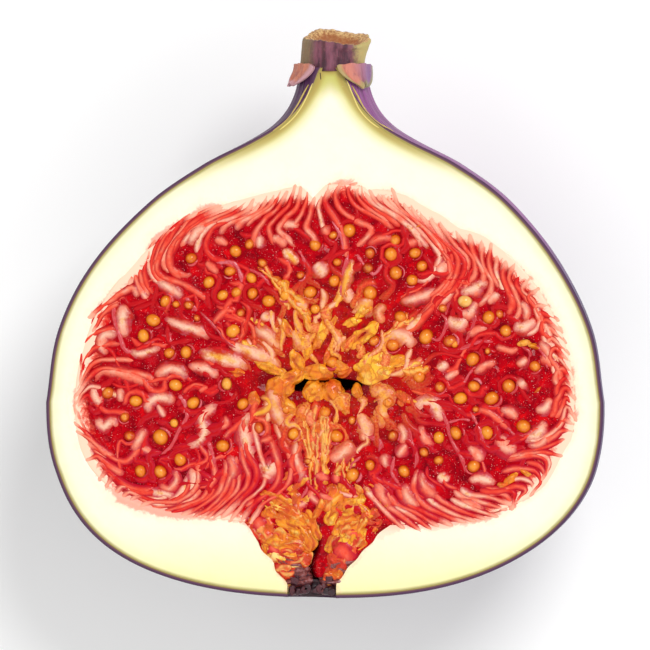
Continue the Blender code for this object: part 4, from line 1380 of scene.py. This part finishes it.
# Thin skins and threads between the florets: tone, half width in pixels, and the path
THREADS = [
    (0.6, 1.4, [(114, 300), (112, 315), (118, 335), (124, 350), (140, 352)]),
    (0.5, 1.2, [(168, 331), (170, 343), (174, 350)]), (0.6, 1.3, [(184, 296), (192, 306), (196, 311)]),
    (0.7, 1.3, [(213, 262), (233, 263), (240, 275), (241, 286)]),
    (0.5, 1.1, [(247, 268), (262, 276), (270, 286)]),
    (0.3, 1.1, [(198, 310), (214, 327), (228, 343), (244, 352)]),
    (0.5, 1.2, [(298, 249), (303, 258), (305, 268)]), (0.7, 1.2, [(331, 219), (341, 236), (345, 258)]),
    (0.7, 1.2, [(356, 252), (362, 262), (374, 274), (383, 262)]),
    (0.6, 1.3, [(349, 252), (344, 270), (340, 300)]),
    (0.5, 1.2, [(420, 330), (438, 340), (447, 322), (440, 312)]),
    (0.4, 1.0, [(477, 312), (472, 328), (465, 343)]),
    (0.5, 1.4, [(454, 351), (468, 346), (482, 341), (495, 342)]),
    (0.7, 1.3, [(177, 394), (184, 404), (182, 414)]),
    (0.6, 1.2, [(182, 407), (186, 416), (178, 430), (170, 446), (158, 456)]),
    (0.6, 1.3, [(207, 440), (212, 456), (214, 472)]), (0.5, 1.2, [(237, 428), (240, 445), (240, 465)]),
    (0.6, 1.2, [(302, 470), (308, 485), (300, 500)]),
    (0.5, 1.4, [(438, 404), (446, 420), (452, 440), (462, 458), (466, 474)]),
    (0.6, 1.4, [(470, 410), (478, 425), (484, 442), (492, 452)]),
    (0.5, 1.2, [(500, 420), (512, 432), (520, 440)]),
    (0.5, 1.3, [(356, 420), (366, 435), (380, 440), (378, 455)]),
    (0.5, 1.2, [(408, 420), (412, 440), (417, 456), (414, 470)]),
    (0.6, 1.1, [(395, 455), (392, 472), (400, 485)]),
    (0.4, 1.0, [(520, 345), (530, 352), (528, 362), (518, 372)]),
    (0.6, 1.1, [(536, 344), (545, 356), (548, 370)]), (0.5, 1.2, [(86, 350), (92, 342), (104, 336)]),
    (0.5, 1.0, [(140, 352), (144, 344), (156, 340)]),
]


# How many more threads lie at random
LOOSE_THREADS = 14


def make_threads(finish, draw):
    """The threads by their paths, and some more at random."""
    heap = Heap()
    paths = [(tone, wide, from_photo(pixels)) for tone, wide, pixels in THREADS]
    for _ in range(LOOSE_THREADS):
        turn, depth = draw.uniform(-math.pi, math.pi), draw.uniform(0.1, 0.82)
        bend = draw.uniform(-0.12, 0.12)
        steps = np.arange(draw.choice((2, 3, 4)) + 1)
        path = pulp_place(depth + 0.03 * steps, turn + bend * (steps / 3) ** 2)
        paths.append((draw.uniform(0.1, 0.8), draw.uniform(0.5, 1.0), path))
    for i, (tone, wide, path) in enumerate(paths):
        path = smooth_path(path, 20)
        bumps = path_lumps(path, 0.5, i * 1.9)
        wide = 2.4 * wide / PIXELS_PER_MM * (1 + 0.5 * bumps)
        crest = CUT_Z - 0.1 + 0.06 * bumps
        strand(heap, pushed(path, bumps, 0.06), wide, crest, 0.3, tone - 0.2, (0.2, 0.25), 7)
    return heap.piece("membranes", finish, "pulp")


# Golden floret tips round the hollow: middle, half length and half width in pixels, degrees anticlockwise
# that the length is turned from +X, and tone
LOBES = [
    (377, 367, 24, 16, 5, 0.76), (398, 360, 20, 8, 8, 0.7), (361, 336, 30, 9, 36, 0.7),
    (352, 322, 12, 7, 20, 0.62), (322, 330, 17, 7, 80, 0.68), (334, 322, 12, 6, 60, 0.62),
    (316, 342, 10, 6, 70, 0.5), (268, 367, 19, 6, -22, 0.74), (297, 361, 13, 8, -62, 0.66),
    (307, 352, 12, 6, 70, 0.62), (278, 388, 15, 11, 10, 0.6), (314, 392, 12, 11, 40, 0.66),
    (333, 392, 13, 10, -70, 0.6), (357, 391, 8, 5, -70, 0.6), (285, 404, 17, 8, -50, 0.5),
    (253, 400, 9, 7, 80, 0.42), (403, 398, 12, 8, -30, 0.36), (343, 404, 14, 7, -70, 0.52),
    (344, 372, 9, 5, 30, 0.5), (326, 356, 9, 5, 75, 0.55), (300, 338, 14, 7, -60, 0.76),
    (286, 328, 13, 6, -55, 0.6), (306, 320, 13, 5, -70, 0.62), (364, 311, 12, 6, 35, 0.7),
    (512, 478, 9, 5, 30, 0.62), (524, 471, 9, 4, -30, 0.66), (504, 484, 7, 4, 10, 0.56),
    (524, 343, 8, 3.5, 10, 0.6), (536, 347, 8, 3.5, -25, 0.56), (538, 389, 7, 4, 40, 0.5),
    (418, 226, 6, 3, 20, 0.6), (318, 372, 16, 8, 0, 0.6), (292, 376, 13, 7, 20, 0.66),
    (338, 366, 12, 7, -30, 0.6), (235, 372, 11, 5, -10, 0.5), (301, 415, 12, 6, -75, 0.5),
    (318, 430, 12, 5, 85, 0.45), (388, 402, 8, 6, 40, 0.4),
]


def make_lobes(finish, draw):
    """Swollen, crumpled tips: one ball is modelled, and each tip is a copy with its own folds."""
    ball, faces = round_model(bpy.ops.mesh.primitive_ico_sphere_add, subdivisions=4)
    heap = Heap()
    middles = from_photo([lobe[:2] for lobe in LOBES])
    for i, ((x, y), (_, _, long, wide, degrees, tone)) in enumerate(zip(middles, LOBES)):
        size = np.array([1.12 * long, 1.2 * wide, 9.0]) / PIXELS_PER_MM
        points = ball * size
        folds = 0.18 * lumps(points + i * 7.0, 1.1) + 0.04 * lumps(points + i * 3.0, 0.4)
        creases = -np.abs(lumps(points * (0.35, 1.4, 1.0) + i * 5.0, 0.7)) * 0.34
        points = points + ball * (folds + creases)[:, None]
        points = turned(points, math.radians(degrees)) + (x, y, CUT_Z - size[2] + draw.uniform(0.0, 0.14))
        points[:, 2] = np.minimum(points[:, 2], CUT_Z + 0.16)
        # crest: high on folds and low in creases, for the golden finish's painted highlights and painted
        # shade.
        heap.add(points, faces, tone=tone, crest=np.clip(0.68 + (folds + creases) * 2.2, 0, 1))
    return heap.piece("golden_lobes", finish, "pulp")


# Bands of golden fibres: two edge lines, how many, and their tone
FIBRES = [
    (
        [(250, 262), (270, 290), (295, 320), (312, 345)],
        [(266, 262), (290, 285), (312, 312), (322, 335)],
        6, 0.6,
    ),
    (
        [(312, 400), (313, 430), (314, 460), (318, 500)],
        [(326, 400), (328, 430), (326, 465), (330, 505)],
        9, 0.5,
    ),
    ([(250, 352), (232, 347), (214, 340)], [(262, 348), (240, 338), (222, 330)], 4, 0.6),
    ([(330, 310), (336, 290), (342, 268)], [(346, 306), (350, 285), (354, 264)], 4, 0.66),
    ([(390, 368), (410, 362), (432, 352)], [(392, 378), (415, 374), (440, 372)], 6, 0.7),
    ([(375, 330), (392, 322), (408, 308)], [(380, 340), (400, 330), (422, 318)], 4, 0.6),
    ([(335, 480), (340, 460), (344, 440)], [(352, 490), (350, 470), (354, 450)], 6, 0.6),
    (
        [(296, 410), (302, 440), (306, 470), (304, 500)],
        [(310, 408), (312, 440), (316, 470), (314, 500)],
        8, 0.55,
    ),
]


def make_fibres(finish, draw):
    """The golden fibres: wavy strands, each at random within its band."""
    heap = Heap()
    stations = 26
    for first, second, count, tone in FIBRES:
        edges = [smooth_path(from_photo(line), stations) for line in (first, second)]
        for k in range(count):
            start, end = sorted((draw.uniform(0, 0.5), draw.uniform(0.5, 1)))
            middle = draw.random()
            waves = np.linspace(0, draw.uniform(4, 12), stations) + draw.uniform(0, 6)
            share = (middle + 0.12 * np.sin(waves))[:, None]
            path = edges[0] * (1 - share) + edges[1] * share
            start, end = int(start * (stations - 1)), int(end * (stations - 1))
            path = smooth_path(path[start: max(end, start + 5)], stations)
            bumps = path_lumps(path, 0.6, k * 4.1)
            path = path + 0.26 * np.column_stack([bumps, path_lumps(path, 0.5, k)])
            wide = draw.uniform(0.2, 0.62) * (1 + 0.6 * bumps)
            crest = CUT_Z - draw.uniform(0.0, 0.16) + 0.1 * bumps
            golden_strand(heap, path, wide, crest, tone - 0.12 + draw.uniform(-0.24, 0.2))
    return heap.piece("golden_fibres", finish, "pulp")


def golden_strand(heap, path, wide, crest, tone):
    """A strand for the golden finish, which reads a crest in place of an edge."""
    made = Heap()
    strand(made, path, wide, crest, 0.45, tone, (0.15, 0.15), 7)
    edge = made.values["edge"][0]
    # crest: high along the middle and low at the sides, for painted highlight and painted shade.
    heap.add(made.points[0], made.faces, tone=tone, crest=1 - 0.9 * edge)


# The passage and the eye

# Crumpled strips of the passage: start and end in pixels, half width in millimetres, how many, and tone
PASSAGE_STRIPS = [
    ((262, 508), (318, 470), 0.35, 4, 0.55), ((372, 508), (334, 470), 0.35, 4, 0.6),
    ((300, 528), (316, 480), 0.3, 3, 0.4), ((254, 516), (270, 534), 0.7, 3, 0.3),
    ((256, 514), (300, 530), 0.5, 4, 0.62), ((252, 524), (292, 540), 0.6, 4, 0.34),
    ((262, 500), (306, 520), 0.4, 5, 0.7), ((278, 492), (312, 512), 0.4, 4, 0.66),
    ((262, 538), (302, 548), 0.55, 5, 0.68), ((286, 512), (310, 544), 0.4, 5, 0.76),
    ((270, 552), (304, 556), 0.5, 4, 0.8), ((274, 562), (306, 564), 0.45, 4, 0.2),
    ((280, 572), (308, 574), 0.4, 3, 0.06), ((296, 500), (312, 540), 0.35, 4, 0.6),
    ((374, 520), (340, 536), 0.5, 5, 0.62), ((366, 506), (336, 524), 0.45, 5, 0.72),
    ((356, 492), (332, 512), 0.4, 5, 0.7), ((368, 536), (338, 548), 0.5, 4, 0.66),
    ((352, 500), (330, 530), 0.4, 4, 0.76), ((358, 548), (334, 554), 0.7, 4, 0.16),
    ((350, 560), (328, 566), 0.7, 4, 0.12), ((342, 572), (320, 574), 0.4, 3, 0.3),
    ((250, 520), (262, 536), 0.6, 4, 0.22), ((282, 548), (306, 552), 0.5, 3, 0.12),
    ((354, 528), (348, 540), 0.5, 3, 0.2), ((346, 530), (328, 556), 0.35, 4, 0.7),
    ((334, 478), (326, 506), 0.3, 3, 0.6), ((380, 512), (356, 516), 0.4, 3, 0.4),
]


def make_passage_bed(finish):
    """The gel that lines the passage, with a deep gap down its middle."""
    columns, rows = 60, 44
    turn = np.linspace(math.pi / 2, 3 * math.pi / 2, columns)
    heap = Heap()
    for y in np.linspace(PASSAGE_WAIST_Y + 0.6, PASSAGE_MOUTH_Y + 1.4, rows):
        radius = passage_wall(turn, min(y, PASSAGE_MOUTH_Y)) - 0.04
        across = np.linspace(1, -1, columns)
        top_x = axis_x(y) + across * np.where(across > 0, radius[0], radius[-1])
        places = np.column_stack([top_x, np.full(columns, y), np.zeros(columns)])
        fade = float(smooth((PASSAGE_MOUTH_Y + 0.4 - y) / 1.6))
        gap = np.exp(-((top_x - axis_x(y) + 0.35 + 0.2 * math.sin(y * 2)) / 0.55) ** 2)
        hollows = fade * (1.2 * gap + 0.25 * np.maximum(lumps(places, 0.8, 5.0), 0))
        pit = np.clip(gel_pits(places) + 0.02 + hollows, 0.06, 2.0)
        places[:, 2] = CUT_Z - pit
        x = axis_x(y) + radius * np.sin(turn)
        low = axis_z(y) + radius * np.cos(turn)
        under = np.column_stack([x[::-1], np.full(columns, y), np.minimum(low[::-1], CUT_Z - 2.2)])[1:-1]
        depth = np.concatenate([pit, np.full(len(under), 2.0)])
        heap.add(np.vstack([places, under]), depth=depth, shore=FAR_INSIDE)
    heap.faces = capped_faces(rows, heap.count // rows)
    return heap.piece("passage_bed", finish, "pulp")


def scatter(draw, *spreads):
    """A random shift, as far along each axis as its spread says."""
    return np.array([draw.gauss(0, spread) for spread in spreads])


def make_passage(finish, draw):
    """The passage to the eye: crumpled papery bracts that lean in from both walls."""
    heap = Heap()
    for start, end, wide, count, tone in PASSAGE_STRIPS:
        line = from_photo([start, end])
        for i in range(count):
            length = np.linalg.norm(line[1] - line[0])
            bend = scatter(draw, 0.35, 0.35)
            shift = scatter(draw, 0.22, 0.22) * length * 0.5
            ends = sorted((draw.uniform(-0.1, 0.35), draw.uniform(0.6, 1.1)))
            path = np.array([line[0] + (line[1] - line[0]) * share for share in (ends[0], 0.5, ends[1])])
            path[1] += bend
            path = smooth_path(path + shift, 22)
            crest = CUT_Z - draw.uniform(-0.02, 0.3)
            half_width = wide * draw.uniform(1.3, 2.6)
            crumpled_strip(heap, path, half_width, crest, tone + draw.uniform(-0.16, 0.16), i)
    return heap.piece("passage_bracts_fine", finish, "passage_bracts", "passage_bracts")


def crumpled_strip(heap, path, half_width, crest, tone, seed):
    """A strip of papery tissue with folds that mostly run along it."""
    made = Heap()
    shift = seed * 3.1 + path[0, 0] * 2
    wave = path_lumps(path, 0.7, shift)
    strand(made, path, half_width * (1 + 0.5 * wave), crest, 0.4, tone, (0.16, 0.16), 15)
    points = made.points[0]
    across, along = made.values["across"][0], made.values["along"][0]
    sheet = np.column_stack([across * half_width * 1.7, along * 0.45, np.full(len(along), shift)])
    folds = lumps(sheet, 0.9)
    creases = -np.abs(lumps(sheet + 9, 0.7))
    points[:, 2] += 0.24 * folds + 0.34 * creases
    points[:, 0] += 0.15 * folds
    points[:, 1] += 0.12 * creases
    points[:, 2] = np.minimum(points[:, 2], CUT_Z + 0.1)
    # Painted light and shade: low in creases for painted shade, high on folds and along the edges for
    # painted highlights.
    painted_light_share = np.clip(0.62 + folds * 0.8 + creases * 1.3 + 0.3 * (made.values["edge"][0] > 0.7), 0, 1)
    heap.add(points, made.faces, tone=tone - 0.05, crest=painted_light_share)


# Brown layers beside the eye, each from its outer end to its inner end
EYE_LAYERS = [
    ((274, 560), (303, 562)), ((279, 567), (306, 568)), ((284, 574), (308, 574)), ((288, 581), (312, 580)),
    ((352, 562), (326, 566)), ((347, 570), (324, 573)), ((341, 577), (320, 579)),
]


# Rows of scales: how many, the row's radius, and how far it lies inside the eye
EYE_ROWS = [(11, 1.95, 0.2), (9, 1.35, 0.28), (6, 0.75, 0.4), (9, 1.7, 1.3)]


def make_eye(finish, draw):
    """The eye: layers of small dark scales round a hole, cut across with the fruit."""
    ball, faces = round_model(bpy.ops.mesh.primitive_uv_sphere_add, segments=16, ring_count=10)
    heap = Heap()
    centre = np.array([axis_x(EYE_Y + 0.9), EYE_Y + 0.95, axis_z(EYE_Y)])
    core = ball * (2.28, 0.85, 2.3)
    core[:, 2] = np.minimum(core[:, 2], -0.75)
    heap.add(core + centre, faces, tone=0.1)
    for row, (count, radius, back) in enumerate(EYE_ROWS):
        for i in range(count):
            turn = math.pi * (i + draw.uniform(-0.2, 0.2)) / (count - 1)
            size = np.array([draw.uniform(0.4, 0.9), draw.uniform(0.3, 0.7), draw.uniform(0.24, 0.45)])
            points = ball * size
            points = points + ball * (0.2 * lumps(points + row * 9 + i * 3, 0.35))[:, None]
            y = EYE_Y + back + size[1]
            place = (axis_x(y) + radius * math.cos(turn), y, axis_z(y) - 0.15 - radius * math.sin(turn))
            points = turned(points, turn - math.pi / 2, 0, 2) + place
            points[:, 2] = np.minimum(points[:, 2], CUT_Z - 0.04)
            heap.add(points, faces, tone=draw.uniform(0.0, 0.5))
    for start, end in EYE_LAYERS:
        line = from_photo([start, end])
        for i in range(4):
            path = smooth_path(line + scatter(draw, 0.22, 0.2), 20)
            made = Heap()
            half_width = draw.uniform(0.3, 0.5)
            crumpled_strip(made, path, half_width, CUT_Z - draw.uniform(0.05, 0.3), 0.5, i + start[1])
            # The layers' tone follows their crests: painted highlights on the folds and painted shade in the
            # creases.
            heap.add(made.points[0], made.faces, tone=0.35 + 0.5 * made.values["crest"][0])
    return heap.piece("eye_scales_fine", finish, "eye_scales", "eye_scales")


# Fine lines up the neck's flesh: half width in millimetres, tone, and the path
NECK_LINES = [
    (0.12, 0.9, [(270, 137), (290, 121), (300, 109), (307, 96), (313, 82), (317, 72)]),
    (0.12, 0.9, [(390, 134), (372, 123), (360, 110), (353, 95), (347, 81), (340, 70)]),
    (0.08, 0.3, [(264, 137), (285, 121), (296, 107), (303, 94), (309, 83)]),
    (0.08, 0.3, [(396, 133), (378, 122), (365, 109), (358, 96), (351, 84)]),
    # The slit at the top: a dark strand of painted shade lying over the flesh.
    (0.1, 0.0, [(320, 71), (320.5, 76), (321, 81)]),
]


def make_neck_lines(finish):
    """The neck's lines: thin strands that lie just over the flesh."""
    heap = Heap()
    for half_width, tone, pixels in NECK_LINES:
        path = smooth_path(from_photo(pixels), 26)
        strand(heap, path, half_width, CUT_Z + 0.015, 0.08, tone, (0.2, 0.2), 7)
    return heap.piece("neck_lines", finish, "flesh")


# The stem and its bracts

# Rings of the stem, over its rim and into its hollow: how far along, the radius as a share, and how torn
STEM_RINGS = [
    (0.0, 0.98, 0), (0.12, 0.96, 0), (0.3, 0.955, 0), (0.45, 0.97, 0), (0.6, 0.985, 0), (0.74, 1.0, 0),
    (0.86, 1.02, 0), (0.94, 1.01, 0.1), (1.0, 0.97, 0.6), (1.0, 0.9, 1), (0.97, 0.8, 1), (0.9, 0.72, 1.5),
    (0.8, 0.62, 2), (0.74, 0.42, 2), (0.73, 0.2, 2), (0.74, 0.04, 2),
]


def make_stem(finish):
    """The stem: ridged and ribbed along its length, with a ragged rim round the hollow of its torn end."""
    around = 120
    base = NECK_END_Y - 0.35
    turn = np.linspace(0, 2 * math.pi, around, endpoint=False)
    heap = Heap()
    for along, share, bare in STEM_RINGS:
        y = base + (STEM_END_Y - base) * along
        ribs = 1 + 0.045 * np.cos(5 * turn + 0.6) + 0.02 * np.cos(9 * turn) + 0.012 * np.cos(31 * turn)
        radius = STEM_RADIUS * share * (1 + (ribs - 1) * min(share * 1.2, 1))
        x = axis_x(y) + radius * np.sin(turn)
        z = axis_z(y) + radius * np.cos(turn)
        ragged = 0.16 * (np.cos(3 * turn + 1) - 1) + 0.04 * np.cos(13 * turn) + 0.03 * np.cos(29 * turn + 2)
        lean_back = -0.75 * (1 + np.cos(turn - 0.25)) * smooth((along - 0.4) / 0.6)
        ragged = ragged * smooth((along - 0.55) / 0.35) + lean_back - 0.2 * min(bare, 1)
        taller = 0.4 * smooth((along - 0.5) / 0.5)
        points = np.column_stack([x, y + np.minimum(ragged + taller, 0.25), z])
        wobble = 0.06 * lumps(points, 0.6) + 0.03 * lumps(points, 0.25)
        points[:, 0] += wobble * np.sin(turn)
        points[:, 2] += wobble * np.cos(turn)
        heap.add(points, torn=bare)
    heap.faces = capped_faces(len(STEM_RINGS), around)
    return heap.piece("stem_fine", finish, "stem", "stem")


# Basal bracts: where each sits round the neck in degrees, half its spread in radians, its length and its
# lift in millimetres, the seed of its folds, and the colours of its heart, its side and its lip
BRACTS = {
    "bract_left": (-62, 0.55, 1.7, 0.8, 1.0, (176, 96, 74), (196, 118, 92), (190, 150, 164)),
    "bract_right": (52, 0.62, 1.9, 0.5, 2.0, (206, 120, 96), (136, 96, 140), (150, 152, 84)),
    "bract_back": (180, 0.6, 2.6, 0.6, 3.0, (150, 90, 90), (120, 90, 110), (190, 160, 150)),
}


def make_bract(node, degrees, half_turn, length, lift, seed, *shades):
    """A basal bract: a thin scale that hugs the neck from the foot of the stem and lifts away at its tip."""
    rows, columns = 24, 34
    v, u = np.meshgrid(np.linspace(0, 1, rows), np.linspace(-1, 1, columns), indexing="ij")
    ragged = 1 + 0.1 * np.sin(u * 9 + seed) * v
    top = NECK_END_Y + 0.1 + 0.3 * np.sqrt(1 - np.abs(u) ** 3) + 0.06 * np.sin(u * 11)
    y = top - (length + 0.25) * v * ragged
    neck = np.maximum(fruit_radius(np.minimum(y, NECK_END_Y - 0.01)), STEM_RADIUS * 1.02)
    layers = []
    for height in (0.12, 0.5):
        folds = 0.1 * np.sin(u * 7 + v * 4 + seed) * v + 0.06 * np.sin(u * 17 - seed)
        radius = neck + height * (1 - 0.4 * v) + lift * v**1.5 + folds
        spread = half_turn * (1 - v**1.8) + 0.09
        turn = math.radians(degrees) + spread * u
        x, z = axis_x(y) + radius * np.sin(turn), axis_z(y) + radius * np.cos(turn)
        layers.append(np.stack([x, y, z], -1).reshape(-1, 3))
    total = rows * columns
    under = np.array(grid_faces(rows, columns, False))
    grid = np.arange(total).reshape(rows, columns)
    rim = np.concatenate([grid[0], grid[1:, -1], grid[-1, -2::-1], grid[-2:0:-1, 0]]).tolist()
    sides = [[a, b, b + total, a + total] for a, b in zip(rim, rim[1:] + rim[:1])]
    faces = under[:, ::-1].tolist() + (under + total).tolist() + sides
    across, edge = np.tile((u.ravel() + 1) / 2, 2), np.tile(np.maximum(np.abs(u), v).ravel(), 2)
    heap = Heap()
    heap.add(np.vstack(layers), faces, across=across, edge=edge)
    finish = bract_finish(node, *shades)
    made = heap.piece(node + "_fine", finish, "basal_bracts", node)
    choose_only(made)
    bpy.ops.object.shade_smooth_by_angle(angle=math.radians(45))
    return made


# The studio

def make_floor():
    """A pale floor under the half."""
    bpy.ops.object.select_all(action="DESELECT")
    bpy.ops.mesh.primitive_plane_add(size=3.0, location=(0, 0, 0))
    floor = bpy.context.object
    floor.name = "floor"
    finish = Finish("floor_paper", Roughness=0.9, Specular_IOR_Level=0.1)
    grain = finish.noise(finish.place(), 60.0, 2.0)
    shade = finish.mix(grain, (250, 250, 250), (253, 253, 252))
    floor.data.materials.append(finish.feed(Base_Color=shade))


# Round lamps: the place and the diameter in metres, and the power in watts
LAMPS = [
    ("key", (0.17, 0.21, 0.46), 0.2, 1.42),
    ("left", (-0.42, 0.05, 0.38), 0.6, 0.9),
    ("front", (0.05, -0.42, 0.38), 0.6, 0.96),
    ("right", (0.46, -0.05, 0.26), 0.6, 0.7),
]
LAMP_TARGET = Vector((0, 0, 0.02))
WORLD_STRENGTH = 0.42


def make_lights():
    """Soft white light from all round, and four lamps."""
    world = bpy.data.worlds.new("studio")
    world.use_nodes = True
    background = world.node_tree.nodes["Background"]
    background.inputs["Color"].default_value = (1, 1, 1, 1)
    background.inputs["Strength"].default_value = WORLD_STRENGTH
    bpy.context.scene.world = world
    for name, place, size, power in LAMPS:
        lamp = bpy.data.lights.new(name, "AREA")
        lamp.shape = "DISK"
        lamp.size = size
        lamp.energy = power
        made = bpy.data.objects.new(name, lamp)
        made.location = place
        made.rotation_euler = (LAMP_TARGET - Vector(place)).to_track_quat("-Z", "Y").to_euler()
        bpy.context.scene.collection.objects.link(made)


def make_camera():
    """Looks down on the cut face, from a little to the right, and frames it as the photograph does."""
    distance, lean, frame_width, sensor = 0.9, math.radians(5.5), 63.1 * MM, 36
    middle = Vector((0.1, -1.1, CUT_Z)) * MM
    lens = bpy.data.cameras.new("camera")
    lens.sensor_width = sensor
    lens.lens = sensor * distance / frame_width
    lens.clip_end = 10
    camera = bpy.data.objects.new("camera", lens)
    camera.location = middle + Vector((math.sin(lean), 0, math.cos(lean))) * distance
    camera.rotation_euler = (0, lean, 0)
    bpy.context.scene.collection.objects.link(camera)
    bpy.context.scene.camera = camera
    bpy.context.scene.view_settings.view_transform = "Standard"


RANDOM_SEED = 11


def main():
    """Builds every piece. They share one run of random draws, so their order matters."""
    draw = random.Random(RANDOM_SEED)
    make_floor()
    make_lights()
    make_camera()
    make_skin(skin_finish())
    make_flesh(flesh_finish())
    gel, florets, membranes, golden = gel_finish(), floret_finish(), membrane_finish(), golden_finish()
    make_gel(gel)
    make_rim_florets(florets, draw)
    make_bodies(florets, draw)
    make_inner_florets(florets, draw)
    make_fill_florets(florets, draw)
    make_seeds(seed_finish(), draw)
    make_seed_coats(membranes, draw)
    make_threads(membranes, draw)
    make_lobes(golden, draw)
    make_fibres(golden, draw)
    make_passage_bed(gel)
    make_passage(golden, draw)
    make_eye(scale_finish(), draw)
    make_neck_lines(neck_line_finish())
    make_stem(stem_finish())
    for node, facts in BRACTS.items():
        make_bract(node, *facts)


main()
